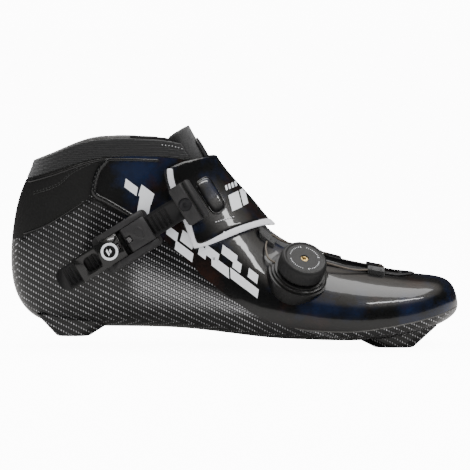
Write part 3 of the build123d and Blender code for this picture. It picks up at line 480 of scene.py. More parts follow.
# %% White print and metals
grained_finish("white_print", (0.78, 0.79, 0.82), 1.12, 0.0006, 0.00004, 0.35, Roughness=0.42)
grained_finish("rim_satin", (0.07, 0.068, 0.065), 1.6, 0.0008, 0.00004, 0.3, Roughness=0.35)
grained_finish("bare_steel", (0.45, 0.45, 0.46), 1.3, 0.0005, 0.00003, 0.25, Roughness=0.3, Metallic=1.0)
grained_finish("black_steel", (0.03, 0.03, 0.032), 1.8, 0.0004, 0.00003, 0.25, Roughness=0.38, Metallic=0.6)
grained_finish("brass", (0.55, 0.40, 0.17), 1.35, 0.0005, 0.00003, 0.25, Roughness=0.28, Metallic=1.0)
grained_finish("coated_cable", (0.10, 0.085, 0.07), 1.8, 0.0003, 0.00003, 0.4, Roughness=0.35, Metallic=0.4)
print("finishes so far:", len(finishes))


# %% [markdown]
# ### Woven and knitted finishes
# Cloth takes the twill group at thread size for its weave, or the ribs group where it is
# knitted or corded, with a little sheen for the loose fibres.  Real threads could be
# modelled on a small patch, but on a whole collar they would cost too much.

# %% Cloths
def cloth_finish(name, tone, light, thread, depth, ribbed=False, sheen=0.3, rough=0.85):
    """A cloth from its shadow tone to its light tone; thread and depth in metres."""
    tree, shader, position = new_finish(name, Roughness=rough, Sheen_Weight=sheen, Sheen_Roughness=0.5)
    place = add_node(tree, "ShaderNodeSeparateXYZ", {"Vector": position}).outputs
    across = maths(tree, "ADD", place["X"], place["Y"])
    if ribbed:
        cross = effect(tree, rib_group, Along=across, Pitch=thread * 0.6)["Height"]
        cord = effect(tree, rib_group, Along=place["Z"], Pitch=thread)["Height"]
        height = maths(tree, "MULTIPLY_ADD", cross, 0.35, cord)
    else:
        along = maths(tree, "ADD", place["Z"], place["Y"])
        height = effect(tree, twill_group, Across=across, Along=along, Tow=thread)["Height"]
    worn = effect(tree, smudge_and_sheen_group, Position=position, Size=0.02)
    shade = maths(tree, "MULTIPLY_ADD", height, 0.6, maths(tree, "MULTIPLY", worn["Fine"], 0.4))
    put(tree, shader.inputs["Base Color"], ramp(tree, shade, [(0.1, tone), (0.95, light)]))
    put(tree, shader.inputs["Roughness"], maths(tree, "MULTIPLY_ADD", worn["Fine"], 0.1, rough - 0.05))
    bump(tree, shader, height, 0.6, depth)


cloth_finish("collar_knit", (0.004, 0.004, 0.0045), (0.022, 0.022, 0.023), 0.0011, 0.00025, ribbed=True)
cloth_finish("lining_cloth", (0.05, 0.049, 0.047), (0.13, 0.128, 0.124), 0.0006, 0.00012)
cloth_finish("tongue_cloth", (0.004, 0.004, 0.0045), (0.024, 0.024, 0.025), 0.0009, 0.0002)
cloth_finish("webbing", grey(0.004), (0.03, 0.03, 0.031), 0.0008, 0.0002, rough=0.7)
cloth_finish("thread", grey(0.008), grey(0.06), 0.0004, 0.0001, sheen=0.2, rough=0.6)
cloth_finish("white_thread", (0.6, 0.6, 0.62), (0.85, 0.85, 0.87), 0.0004, 0.0001, sheen=0.2, rough=0.6)
cloth_finish("white_piping", (0.66, 0.66, 0.70), (0.88, 0.88, 0.91), 0.0007, 0.00008, sheen=0.1, rough=0.5)
print("finishes:", len(finishes))


# %% [markdown]
# ## Which finish goes where
# Each finish stands for one of the record's material slots, and a piece added below
# is given its finish as soon as it is dressed.


def dress(obj, finish):
    """Give a piece one finish all over."""
    obj.data.materials.clear()
    obj.data.materials.append(finishes[finish])


# %% [markdown]
# The engineering parts that already have their final shape, such as the shell, the upper
# and the hidden screws, only need a finish.  Those that get a twin later are dressed too,
# so none is left plain.

# %% Finishes on the engineering parts
part_finishes = {
    "carbon_cloth": ("carbon_shell",),
    "bare_steel": (
        "toe_insert", "heel_insert", "strap_anchor_screw", "strap_anchor_nut", "lever_spring", "pawl_spring",
    ),
    "footbed_cloth": ("footbed",),
    "lining_cloth": ("lining",),
    "patent_upper": ("quarter", "seam_trim"),
    "matte_panel": ("heel_panel",),
    "collar_knit": ("collar_band",),
    "tongue_cloth": ("tongue", "tongue_flap"),
    "eyestay_leather": ("eyestay_trim",),
    "webbing": (
        "instep_strap", "lace_guide_front", "lace_guide_front_inner", "lace_guide_middle_inner",
        "lace_guide_rear",
    ),
    "white_piping": ("strap_piping",),
    "boss_rubber": ("dial_boss",),
    "dial_face": ("dial_housing", "dial_spool", "dial_cap", "dial_clutch_ring"),
    "dial_rubber": ("dial_grip",),
    "brass": ("dial_screw",),
    "coated_cable": ("dial_cable",),
    "buckle_nylon": ("buckle_pad", "buckle_base", "release_pawl", "ladder_holder"),
    "black_steel": ("buckle_screw", "buckle_t_nut", "lever_pin", "pawl_pin", "ladder_screw"),
    "polished_black": ("buckle_lever", "lever_badge"),
    "ladder_nylon": ("ladder_strap",),
}
for finish, names in part_finishes.items():
    for name in names:
        dress(nodes[name], finish)
print("dressed:", sum(len(names) for names in part_finishes.values()), "of", len(nodes))


# %% [markdown]
# ## Working from the engineering surfaces
# Sewn, padded and printed things follow the boot's own surface.  A shrinkwrap modifier
# could press them on, but it pulls thin pieces out of shape.  Dropping each point on to
# the surface along a chosen direction keeps control of where it lands.

# %% Finding the surface
def surface_of(*names):
    """A search tree over the engineering parts' surfaces."""
    verts, faces = [], []
    for name in names:
        mesh = nodes[name].data
        start = len(verts)
        verts += [vertex.co.copy() for vertex in mesh.vertices]
        faces += [[start + number for number in face.vertices] for face in mesh.polygons]
    return BVHTree.FromPolygons(verts, faces)


def drop(tree, start, direction, lift=0.0):
    """Where a line meets the surface, lifted off it, with the outward normal."""
    hit, normal, face, distance = tree.ray_cast(Vector(start), Vector(direction))
    if hit is None:
        hit, normal, face, distance = tree.find_nearest(Vector(start))
    if normal.dot(Vector(direction)) > 0:
        normal = -normal
    return hit + normal * lift, normal


boot_skin = surface_of("quarter", "heel_panel", "collar_band", "carbon_shell")
side_reach = -0.09


def on_side(x, z, lift=0.0, tree=boot_skin):
    """A point drawn on the side view, in millimetres, laid on the outer side."""
    return drop(tree, (x * mm, side_reach, z * mm), (0, 1, 0), lift)


print("the boot's skin is ready")


# %% [markdown]
# A seam is drawn as a few points on the side view.  A smooth curve through them, cut
# into even steps, is laid over the surface; a Bezier curve object would do the same
# but couldn't give the surface's normal at each step.

# %% Laying a drawn line over the surface
def spaced(points, spacing):
    """Evenly spaced points along a line of points."""
    points = [Vector(point) for point in points]
    steps = [(second - first).length for first, second in zip(points, points[1:])]
    count = max(2, round(sum(steps) / spacing) + 1)
    placed, walked, number = [], 0.0, 0
    for index in range(count):
        target = sum(steps) * index / (count - 1)
        while number < len(steps) - 1 and walked + steps[number] < target:
            walked += steps[number]
            number += 1
        share = 0.0 if steps[number] == 0 else min(1.0, (target - walked) / steps[number])
        placed.append(points[number].lerp(points[number + 1], share))
    return placed


def smooth_line(points, per_run=8):
    """A smooth curve through points (Catmull-Rom)."""
    points = [Vector(point) for point in points]
    padded = [points[0]] + points + [points[-1]]
    line = []
    for before, first, second, after in zip(padded, padded[1:], padded[2:], padded[3:]):
        for step in range(per_run):
            t = step / per_run
            line.append(0.5 * (
                2 * first + (second - before) * t + (2 * before - 5 * first + 4 * second - after) * t**2
                + (3 * first - before - 3 * second + after) * t**3
            ))
    return line + [points[-1]]


def seam_on_side(drawn, lift=0.0, spacing=1.0, tree=boot_skin):
    """A drawn seam line laid over the outer side: points and normals."""
    flat = spaced(smooth_line([(x, 0, z) for x, z in drawn]), spacing)
    return [on_side(point.x, point.z, lift, tree) for point in flat]


print("line helpers: spaced, smooth_line, seam_on_side")


# %% [markdown]
# Every new piece rides on the body it belongs to, or it would stay behind when the dial
# turns or the lever opens.  One function makes the mesh, dresses it and says what it
# rides on.

# %% A new piece
def new_piece(name, verts, faces, finish, body="root", smooth=True):
    """A mesh object with one finish that rides on a body."""
    mesh = bpy.data.meshes.new(name)
    mesh.from_pydata([tuple(vert) for vert in verts], [], faces)
    mesh.validate()
    mesh.update()
    for face in mesh.polygons:
        face.use_smooth = smooth
    piece = bpy.data.objects.new(name, mesh)
    scene.collection.objects.link(piece)
    dress(piece, finish)
    if body:
        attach(piece, body)
    return piece


def round_faces(steps, rings):
    """Faces of a shape turned round an axis, with the same number of rings at each step."""
    faces = []
    for step in range(steps):
        here, after = step * rings, (step + 1) % steps * rings
        faces += [(here + ring, after + ring, after + ring + 1, here + ring + 1) for ring in range(rings - 1)]
    return faces


print("piece helpers: new_piece, round_faces")


# %% [markdown]
# A bead is a small oval tube along a seam: piping, a cord, a rolled edge.  A curve with
# a bevel is the quick way, but its ends are cut square and it twists freely.  Building
# the rings keeps the flat side down on the surface and lets the ends taper.

# %% Beads
def tube_rings(points, normals, wide, tall, sides=10):
    """Vertices and faces of an oval bead along points; tall is along the normals."""
    verts, faces = [], []
    count = len(points)
    for number, (point, normal) in enumerate(zip(points, normals)):
        ahead = (points[min(number + 1, count - 1)] - points[max(number - 1, 0)]).normalized()
        aside = ahead.cross(normal).normalized()
        up = aside.cross(ahead).normalized()
        if up.dot(normal) < 0:
            up = -up
        from_end = min(number, count - 1 - number)
        swell = min(1.0, math.sqrt((from_end + 0.15) / 1.6))
        for side in range(sides):
            turn = math.tau * side / sides
            verts.append(point + aside * math.cos(turn) * wide * swell + up * math.sin(turn) * tall * swell)
    for number in range(count - 1):
        here, ahead = number * sides, (number + 1) * sides
        for side in range(sides):
            after = (side + 1) % sides
            faces.append((here + side, here + after, ahead + after, ahead + side))
    faces.append(tuple(range(sides))[::-1])
    faces.append(tuple(range((count - 1) * sides, count * sides)))
    return verts, faces


def bead(name, places, wide, tall, finish, body="root", sides=10):
    """A bead along (point, normal) places; wide and tall are half sizes in millimetres."""
    points, normals = zip(*places)
    verts, faces = tube_rings(points, normals, wide * mm, tall * mm, sides)
    return new_piece(name, verts, faces, finish, body)


print("bead helpers: tube_rings, bead")


# %% [markdown]
# A machine stitch shows as a short thread that dips into the leather at both ends.  A
# dashed texture would do from far off; as geometry each stitch casts its own shadow.

# %% Stitches
stitch_run = (0, 0.2, 0.5, 0.8, 1)


def stitches(name, places, finish, length=1.8, gap=1.0, thick=0.22, body="root"):
    """Thread stitches along (point, normal) places that are one millimetre apart or less."""
    points, normals = zip(*places)
    spacing = (points[1] - points[0]).length / mm
    pitch = max(1, round((length + gap) / spacing))
    reach = max(1, round(length / spacing))
    verts, faces = [], []
    for first in range(0, len(points) - reach, pitch):
        a, b, normal = points[first], points[first + reach], normals[first]
        run = [a.lerp(b, t) + normal * (thick * mm * 0.9 * math.sin(math.pi * t)) for t in stitch_run]
        thread = tube_rings(run, [normal] * len(run), thick * mm * 1.15, thick * mm * 0.8, 6)
        faces += [tuple(number + len(verts) for number in face) for face in thread[1]]
        verts += thread[0]
    return new_piece(name, verts, faces, finish, body)


print("stitch helper: stitches")


# %% [markdown]
# A screen print is a film of ink with a crisp edge.  It could be a mask in the leather's
# material, but a thin film cut to the outline keeps its edge at any distance.  The
# outline is cut into small cells first, so that it can bend with the boot.

# %% Prints
def cut_outlines(outlines, cell):
    """Flat outlines, drawn on the side view, cut into cells; millimetres."""
    grid = bmesh.new()
    for outline in outlines:
        grid.faces.new([grid.verts.new((x, 0, z)) for x, z in outline])
    bmesh.ops.triangulate(grid, faces=grid.faces[:])
    low_x, high_x = min(v.co.x for v in grid.verts), max(v.co.x for v in grid.verts)
    low_z, high_z = min(v.co.z for v in grid.verts), max(v.co.z for v in grid.verts)
    for axis, low, high in (((1, 0, 0), low_x, high_x), ((0, 0, 1), low_z, high_z)):
        for number in range(1, int((high - low) / cell) + 1):
            everything = grid.verts[:] + grid.edges[:] + grid.faces[:]
            at = Vector(axis) * (low + number * cell)
            bmesh.ops.bisect_plane(grid, geom=everything, plane_co=at, plane_no=axis)
    bmesh.ops.recalc_face_normals(grid, faces=grid.faces[:])
    return grid


def print_on_side(name, outlines, finish, thickness=0.12, lift=0.05, cell=1.5, tree=boot_skin):
    """Outlines cut from thin film and pressed on the outer side; millimetres."""
    grid = cut_outlines(outlines, cell)
    count = len(grid.verts)
    placed = [on_side(vert.co.x, vert.co.z, 0.0, tree) for vert in grid.verts]
    top = [point + normal * (lift + thickness) * mm for point, normal in placed]
    bottom = [point + normal * (lift - 0.1) * mm for point, normal in placed]
    index = {vert: number for number, vert in enumerate(grid.verts)}
    faces = []
    for face in grid.faces:
        ring = [index[vert] for vert in face.verts]
        a, b, c = (top[number] for number in ring[:3])
        if (b - a).cross(c - a).dot(placed[ring[0]][1]) < 0:
            ring = ring[::-1]
        faces += [tuple(ring), tuple(number + count for number in ring[::-1])]
    for edge in grid.edges:
        if len(edge.link_faces) == 1:
            a, b = (index[vert] for vert in edge.verts)
            faces.append((a, b, b + count, a + count))
    grid.free()
    return new_piece(name, top + bottom, faces, finish, smooth=False)


print("print helpers: cut_outlines, print_on_side")


# %% [markdown]
# ## Twins of the engineering parts
# The engineering parts have the right size but sharp edges, and they must not change.
# So each gets a twin that can be rounded or swollen, and the twin stands in for it.
# The modifiers that do this are made part of the mesh at once, which lets the pieces
# after it measure the finished shape.

# %% A twin, and its modifiers settled
def twin(node_names, name):
    """An editable copy of one or more engineering parts, with their seams joined up."""
    shape = bmesh.new()
    for node in node_names:
        shape.from_mesh(nodes[node].data)
    bmesh.ops.remove_doubles(shape, verts=shape.verts[:], dist=0.00001)
    mesh = bpy.data.meshes.new(name)
    shape.to_mesh(mesh)
    shape.free()
    copy = bpy.data.objects.new(name, mesh)
    scene.collection.objects.link(copy)
    return copy


def settle(obj):
    """Make an object's modifiers part of its mesh."""
    graph = bpy.context.evaluated_depsgraph_get()
    mesh = bpy.data.meshes.new_from_object(obj.evaluated_get(graph))
    obj.modifiers.clear()
    obj.data = mesh
    for face in mesh.polygons:
        face.use_smooth = True


print("twin helpers: twin, settle")


# %% [markdown]
# Hard plastic comes out of its mould with small rounded edges, and the edge is where it
# catches the light.  A bevel rounds every sharp edge of the twin.  Flats are merged
# first, or the bevel would stop at every triangle.

# %% Rounded twins of hard parts
def rounded(node, finish, body, width):
    """A twin of a hard part with its sharp edges rounded; width in millimetres."""
    copy = twin([node], node + "_finished")
    flatten = copy.modifiers.new("merge flats", "DECIMATE")
    flatten.decimate_type = "DISSOLVE"
    flatten.angle_limit = math.radians(1.0)
    soft = copy.modifiers.new("rounded edges", "BEVEL")
    soft.width = width * mm
    soft.segments = 3
    soft.limit_method = "ANGLE"
    soft.angle_limit = math.radians(32)
    soft.use_clamp_overlap = True
    soft.harden_normals = True
    settle(copy)
    dress(copy, finish)
    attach(copy, body)
    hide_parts(node)
    return copy


print("twin helper: rounded")


# %% [markdown]
# Foam has no sharp edge at all.  Its twin is re-meshed in even cells and then relaxed, so
# that every edge swells round.  A bevel can't do that, and a cloth simulation would move
# the seams away from the parts they are sewn to.

# %% Swollen twins of soft parts
def swollen(node_names, name, voxel=0.7, relax=8, grow=0.0):
    """A soft twin, re-meshed evenly and relaxed; sizes in millimetres."""
    copy = twin(node_names, name)
    even = copy.modifiers.new("even mesh", "REMESH")
    even.mode = "VOXEL"
    even.voxel_size = voxel * mm
    if grow:
        swell = copy.modifiers.new("swell", "DISPLACE")
        swell.strength = grow * mm
        swell.mid_level = 0.0
    ease = copy.modifiers.new("relax", "SMOOTH")
    ease.factor = 0.5
    ease.iterations = relax
    settle(copy)
    return copy


print("twin helper: swollen")

# %% [markdown]
# ## Hard parts of the buckle and the dial
# Moulded nylon and rubber, and steel screws.  The dial's parts and the screws keep a finer
# edge than the buckle's, as they are smaller.  A low-poly shape with a rounded-edge bump
# would be lighter, but its outline would still be sharp.

# %% Rounded buckle, dial, screws and loops
hard_parts = {
    "buckle_pad": ("buckle_nylon", "root", 0.5), "buckle_base": ("buckle_nylon", "root", 0.45),
    "release_pawl": ("buckle_nylon", "pawl", 0.5), "buckle_lever": ("polished_black", "lever", 0.55),
    "ladder_strap": ("ladder_nylon", "ladder", 0.22), "ladder_holder": ("buckle_nylon", "ladder", 0.6),
    "dial_boss": ("boss_rubber", "root", 0.35),
    "strap_anchor_screw": ("bare_steel", "root", 0.12), "buckle_screw": ("black_steel", "root", 0.12),
    "ladder_screw": ("black_steel", "ladder", 0.12), "dial_screw": ("brass", "root", 0.08),
    "dial_housing": ("dial_face", "root", 0.15), "lever_pin": ("black_steel", "root", 0.15),
    "pawl_pin": ("black_steel", "root", 0.15), "lace_guide_front": ("webbing", "root", 0.5),
    "lace_guide_front_inner": ("webbing", "root", 0.5), "lace_guide_middle_inner": ("webbing", "root", 0.5),
    "lace_guide_rear": ("webbing", "root", 0.5),
}
for node, (finish, body, width) in hard_parts.items():
    rounded(node, finish, body, width)
print("rounded:", len(hard_parts))

# %% [markdown]
# ## The dial
# The knob leans out over the instep, so it is built in its own directions: along the
# spindle, and across it to the right and up.  The spindle comes from the joint that
# turns the knob, which keeps the face square to it.

# %% The dial's own directions
dial_axis = Vector(joints["knob_turn"]["axis"]).normalized()
dial_centre = Vector(joints["knob_turn"]["pos_m"])
dial_right = Vector((0, 0, 1)).cross(dial_axis).normalized()
dial_up = dial_axis.cross(dial_right).normalized()


def on_dial(radius, turn, height):
    """A point on the dial: millimetres from the axis, a turn, and height over its seat."""
    flat = dial_right * math.cos(turn) + dial_up * math.sin(turn)
    return dial_centre + flat * radius * mm + dial_axis * height * mm


def heights(node, centre, axis):
    """How far each point of a part stands along an axis."""
    return [(vertex.co - centre).dot(axis) for vertex in nodes[node].data.vertices]


def reach(node, centre, axis):
    """How far a part reaches from an axis."""
    offsets = [vertex.co - centre for vertex in nodes[node].data.vertices]
    return max((offset - axis * offset.dot(axis)).length for offset in offsets)


knob_face = max(heights("dial_cap", dial_centre, dial_axis)) / mm
knob_radius = reach("dial_grip", dial_centre, dial_axis) / mm
grip_low = min(heights("dial_grip", dial_centre, dial_axis)) / mm
grip_high = max(heights("dial_grip", dial_centre, dial_axis)) / mm
print("knob radius", round(knob_radius, 1), "face at", round(knob_face, 1))


# %% [markdown]
# The knob's face is a sunk disc inside a raised rim, open in the middle for the brass
# screw.  A profile of radius and height, turned round the spindle, is how the mould
# itself is cut.

# %% The knob's face
def turned(name, profile, finish, body, steps=96, flutes=0, depth=0.0):
    """A round piece from a profile of (radius, height, fluted); flutes cut its outer radius."""
    verts = []
    for step in range(steps):
        turn = math.tau * step / steps
        wave = depth * (0.5 + 0.5 * math.cos(turn * flutes)) if flutes else 0.0
        verts += [on_dial(radius - wave * fluted, turn, height) for radius, height, fluted in profile]
    return new_piece(name, verts, round_faces(steps, len(profile)), finish, body)


sunk = knob_radius - 2.6
face_profile = [
    (2.2, -2.2), (2.3, -0.5), (2.6, -0.25), (3.4, -0.2), (sunk - 0.8, 0.0), (sunk - 0.2, 0.1),
    (sunk + 0.1, 0.4), (sunk + 0.7, 0.5), (sunk + 1.3, 0.3), (sunk + 1.6, -0.2),
]
face_profile = [(radius, knob_face + rise, 0) for radius, rise in face_profile]
turned("dial_face_disc", face_profile, "dial_face", "dial_knob")
print("face rings:", len(face_profile))

# %% [markdown]
# Small moulded marks stand in a ring on the face.  They are plain ticks, a long one at
# each quarter, and their widths vary a little as worn marks do.  Each is a flat patch
# that is then raised by a hair.

# %% Ring of moulded marks
mark_count, marks_per_quarter = 44, 11
mark_ring = sunk * 0.76
marks = bmesh.new()
rng = random.Random(5)
for number in range(mark_count):
    if number % marks_per_quarter in (9, 10):
        continue
    turn = math.tau * number / mark_count
    tall = 0.55 if number % marks_per_quarter else 1.1
    wide = rng.uniform(0.28, 0.5)
    corners = [(-wide / 2, -tall / 2), (wide / 2, -tall / 2), (wide / 2, tall / 2), (-wide / 2, tall / 2)]
    placed = [on_dial(mark_ring + out, turn + aside / mark_ring, knob_face + 0.05) for aside, out in corners]
    mark = marks.faces.new([marks.verts.new(point) for point in placed])
    mark.normal_update()
    if mark.normal.dot(dial_axis) < 0:
        mark.normal_flip()
raised = bmesh.ops.extrude_face_region(marks, geom=marks.faces[:])["geom"]
raised_verts = [part for part in raised if isinstance(part, bmesh.types.BMVert)]
bmesh.ops.translate(marks, verts=raised_verts, vec=dial_axis * 0.12 * mm)
mark_mesh = bpy.data.meshes.new("dial_marks")
marks.to_mesh(mark_mesh)
marks.free()
dial_marks = bpy.data.objects.new("dial_marks", mark_mesh)
scene.collection.objects.link(dial_marks)
dress(dial_marks, "white_print")
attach(dial_marks, "dial_knob")
print("mark faces:", len(mark_mesh.polygons))

# %% [markdown]
# Round the knob is a rubber grip with very shallow flutes.  They are cut by a wave on the
# profile's outer radius, which fades towards the top edge, as a mould's draft makes it.

# %% Grip
grip_profile = [
    (knob_radius - 1.9, grip_low, 0), (knob_radius - 0.6, grip_low, 0),
    (knob_radius - 0.1, grip_low + 0.5, 1), (knob_radius, grip_low + 1.4, 1),
    (knob_radius, grip_high - 3.2, 1), (knob_radius - 0.08, grip_high - 2.0, 0.6),
    (knob_radius - 0.45, grip_high - 0.9, 0.2), (knob_radius - 1.1, grip_high - 0.25, 0),
    (knob_radius - 1.9, grip_high + 0.1, 0), (knob_radius - 2.5, grip_high, 0),
    (knob_radius - 2.6, grip_high - 0.6, 0), (knob_radius - 1.9, grip_low, 0),
]
grip = turned("dial_grip_rubber", grip_profile, "dial_rubber", "dial_knob", steps=288, flutes=30, depth=0.10)
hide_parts("dial_grip")
print("grip from", round(grip_low, 1), "to", round(grip_high, 1), "mm over the seat")

# %% [markdown]
# ## Soft pieces
# The collar is a foam tube under ribbed knit.  Its five ribs are raised in the mesh, not
# only in the cloth's bump, because they show on the outline.  Each rib follows the
# collar's own height, measured slice by slice, so the ribs narrow where the collar does.

# %% Collar: foam under ribbed knit
collar = swollen(["collar_band"], "collar", voxel=0.7, relax=8)
collar_ribs, rib_height, slice_width = 5, 0.55, 0.003
slices = {}


def collar_slice(vertex, beside=0):
    """Which thin upright slice of the collar a point is in, and on which side of the boot."""
    return round(vertex.co.x / slice_width) + beside, vertex.co.y > 0


for vertex in collar.data.vertices:
    low, high = slices.get(collar_slice(vertex), (9.0, -9.0))
    slices[collar_slice(vertex)] = (min(low, vertex.co.z), max(high, vertex.co.z))
outwards = [vertex.normal.copy() for vertex in collar.data.vertices]
for vertex, outward in zip(collar.data.vertices, outwards):
    own_slice = slices[collar_slice(vertex)]
    share = 0.0
    for beside, weight in ((-1, 0.25), (0, 0.5), (1, 0.25)):
        low, high = slices.get(collar_slice(vertex, beside), own_slice)
        share += weight * (vertex.co.z - low) / max(high - low, 0.004)
    if abs(outward.z) < 0.8:
        vertex.co += outward * rib_height * mm * (abs(math.sin(math.pi * collar_ribs * share)) - 0.6)
dress(collar, "collar_knit")
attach(collar, "root")
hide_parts("collar_band")
print("collar ribs:", collar_ribs, "points:", len(collar.data.vertices))


# %% [markdown]
# The tongue is one sheet of foam in cloth from the toe to its loose tip, which folds
# forward when the foot goes in.  The engineering model splits it at the fold.  Here the
# two halves are joined into one padded piece.

# %% Tongue
tongue = swollen(["tongue", "tongue_flap"], "padded_tongue", voxel=1.0, relax=10)
dress(tongue, "tongue_cloth")


def bend_with_tongue(piece):
    """Make a piece's placement part of its mesh."""
    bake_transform(piece)


bend_with_tongue(tongue)
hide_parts("tongue", "tongue_flap")
print("tongue points:", len(tongue.data.vertices))

# %% [markdown]
# The lining is thin foam in pale cloth; only its top shows over the collar and inside the
# ankle.  It is made the same way, with larger cells, since nothing on it is small.

# %% Lining
lining = swollen(["lining"], "padded_lining", voxel=1.3, relax=6)
dress(lining, "lining_cloth")
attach(lining, "root")
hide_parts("lining")
print("lining points:", len(lining.data.vertices))

# %% [markdown]
# The instep strap is foam in gloss leather with a thick white edge rolled round it.  Both
# swell a little past the engineering parts.  They are separate pieces, as they are on the
# bench, so the line between black and white stays sharp.

# %% Strap and its white edge
strap = swollen(["instep_strap"], "padded_strap", voxel=0.7, relax=8, grow=0.1)
dress(strap, "patent_upper")
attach(strap, "root")
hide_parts("instep_strap")
strap_edge = swollen(["strap_piping"], "strap_edge", voxel=0.5, relax=14, grow=0.15)
dress(strap_edge, "white_piping")
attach(strap_edge, "root")
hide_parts("strap_piping")
strap_skin = surface_of("instep_strap", "strap_piping")
print("strap points:", len(strap.data.vertices), "edge points:", len(strap_edge.data.vertices))

# %% [markdown]
# The edge of the lacing gap is bound in thin leather.  It is too thin to be padded, so it
# is only softened.

# %% Edge of the lacing gap
eyestay = swollen(["eyestay_trim"], "eyestay", voxel=0.45, relax=6)
dress(eyestay, "eyestay_leather")
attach(eyestay, "root")
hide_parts("eyestay_trim")
print("eyestay points:", len(eyestay.data.vertices))

# %% [markdown]
# ## Printed shapes
# Slanted white blocks run down the outer side in a line, each with sheared ends.  They are
# screen printed, so they are a film too thin to feel.  Each block is given by its middle,
# its length along the slant and its width.

# %% Slanted blocks
print_slant = math.radians(-36.9)


def slanted(x, z, long, wide, skew=2.4):
    """A block along the print's slant, with sheared ends; millimetres."""
    half_long, half_wide, half_skew = long / 2, wide / 2, skew / 2
    corners = [
        (-half_long - half_skew, half_wide), (half_long - half_skew, half_wide),
        (half_long + half_skew, -half_wide), (-half_long + half_skew, -half_wide),
    ]
    turn_cos, turn_sin = math.cos(print_slant), math.sin(print_slant)
    return [(x + u * turn_cos - w * turn_sin, z + u * turn_sin + w * turn_cos) for u, w in corners]


blocks = [
    slanted(-159.0, 97.0, 9, 4.6), slanted(-150.0, 92.5, 9.5, 6.4), slanted(-151.5, 84.5, 8.0, 9.0, 4.5),
    slanted(-134.5, 69.5, 8, 4.8), slanted(-125.5, 65.8, 9, 6.0), slanted(-127.5, 59.0, 13, 4.6),
    slanted(-116.5, 58.5, 5.5, 5.0), slanted(-111.0, 57.5, 10, 5.0), slanted(-100.5, 57.0, 11, 4.6),
    slanted(-106.0, 50.0, 13, 5.0, 4.0), slanted(-96.0, 50.5, 6.0, 4.6), slanted(-95.5, 43.0, 11, 4.8, 4.0),
    slanted(-86.5, 44.5, 7, 4.6), slanted(-87.5, 37.0, 10, 4.6),
]
print_on_side("side_print", blocks, "white_print", cell=1.5)
print("side print blocks:", len(blocks))


# %% [markdown]
# Two blocks and a row of small bars stand on the strap and lean the other way, along the
# strap.  They are hung from their top rear corners, which is how they line up on it.

# %% Blocks on the strap
strap_rise, strap_lean = math.radians(22.0), math.radians(-75.0)
bar_step = (1.85, 0.65)


def leaning(x, z, across, down):
    """A block hung from its top rear corner, with sides that lean along the strap; millimetres."""
    over = (across * math.cos(strap_rise), across * math.sin(strap_rise))
    under = (down * math.cos(strap_lean), down * math.sin(strap_lean))
    front_x, front_z = x + over[0], z + over[1]
    return [(x, z), (front_x, front_z), (front_x + under[0], front_z + under[1]), (x + under[0], z + under[1])]


strap_blocks = [leaning(-101.4, 91.3, 6.3, 9.6), leaning(-94.6, 94.0, 3.0, 9.2)]
strap_blocks += [leaning(-103.4 + bar_step[0] * bar, 97.0 + bar_step[1] * bar, 1.1, 2.9) for bar in range(4)]
print_on_side("strap_print", strap_blocks, "white_print", cell=1.2, tree=strap_skin, lift=0.25)
print("strap blocks:", len(strap_blocks))

# %% [markdown]
# ## Seams
# A rolled seam closes the front of the heel panel, with a row of gloss thread on each
# side of its crest.  The roll breaks up the reflections there, which is what makes it read
# as a seam; a dark line drawn on the leather wouldn't.

# %% Rolled seam at the front of the heel panel
trim_skin = surface_of("seam_trim", "quarter", "heel_panel", "carbon_shell")
trim_line = [
    (-172.5, 114.0), (-178, 107.5), (-181, 98), (-180, 92.5), (-172, 88), (-160, 80.8), (-147, 72.5),
]
places = seam_on_side(trim_line, 0.2 * mm, 0.8, trim_skin)
rolled = bead("rolled_seam", places, 1.55, 1.0, "gloss_trim", sides=14)
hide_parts("seam_trim")
for shift in (-0.75, 0.75):
    row = [(x + shift * 0.8, z + shift * 0.7) for x, z in trim_line]
    places = seam_on_side(row, 1.05 * mm, 0.6, trim_skin)
    stitches("rolled_seam_stitches", places, "thread", length=1.5, gap=0.9, thick=0.2)
print("rolled seam points:", len(rolled.data.vertices))

# %% [markdown]
# A double row of thread curves over the heel panel, a cord runs under the collar, and a
# finer cord marks the shell's top edge.  All are dark on dark: they show only as a small
# light and shadow, so they need real height.

# %% Heel seam and cords
heel_seam = [(-217.5, 93.0), (-203, 98.2), (-193.5, 106.2), (-183, 111.5)]
for shift in (-0.65, 0.65):
    places = seam_on_side([(x, z + shift) for x, z in heel_seam], 0.1 * mm, 0.5)
    stitches("heel_seam", places, "thread", length=1.6, gap=0.8, thick=0.17)
collar_seam = [(-221.0, 99.5), (-205, 104.5), (-188, 110.5), (-176, 113.2), (-160, 113.4), (-142, 112.6)]
bead("collar_cord", seam_on_side(collar_seam, 0.1 * mm, 1.0), 0.9, 0.55, "gloss_trim")
shell_seam = [(-224, 68.5), (-210, 74.2), (-198, 81.5), (-187, 88.6)]
bead("shell_top_cord", seam_on_side(shell_seam, 0.05 * mm, 1.0), 0.7, 0.45, "gloss_trim")
print("heel seam rows: 2, cords: 2")

# %% [markdown]
# Two short rows of white thread stand out: one by the strap's lower edge and one at the
# collar's front.

# %% White stitches
strap_row = [(-109, 76.0), (-103, 77.6), (-97, 79.2)]
places = seam_on_side(strap_row, 0.35 * mm, 0.5, strap_skin)
stitches("strap_row", places, "white_thread", length=0.9, gap=0.7, thick=0.3)
collar_row = [(-141, 122.0), (-134, 120.9), (-128, 118.9)]
places = seam_on_side(collar_row, 0.35 * mm, 0.5)
stitches("collar_row", places, "white_thread", length=0.7, gap=1.3, thick=0.24)
print("white rows: 2")


# %% [markdown]
# ## Raised pads
# A gloss pad sits on the strap, and below a folded tab is put on the tongue.  Both are a
# small square grid with its corners drawn in, laid on a surface, domed, and closed
# underneath.  A subdivided cube would need fitting to the curve afterwards; here every point is
# dropped on the surface to begin with.

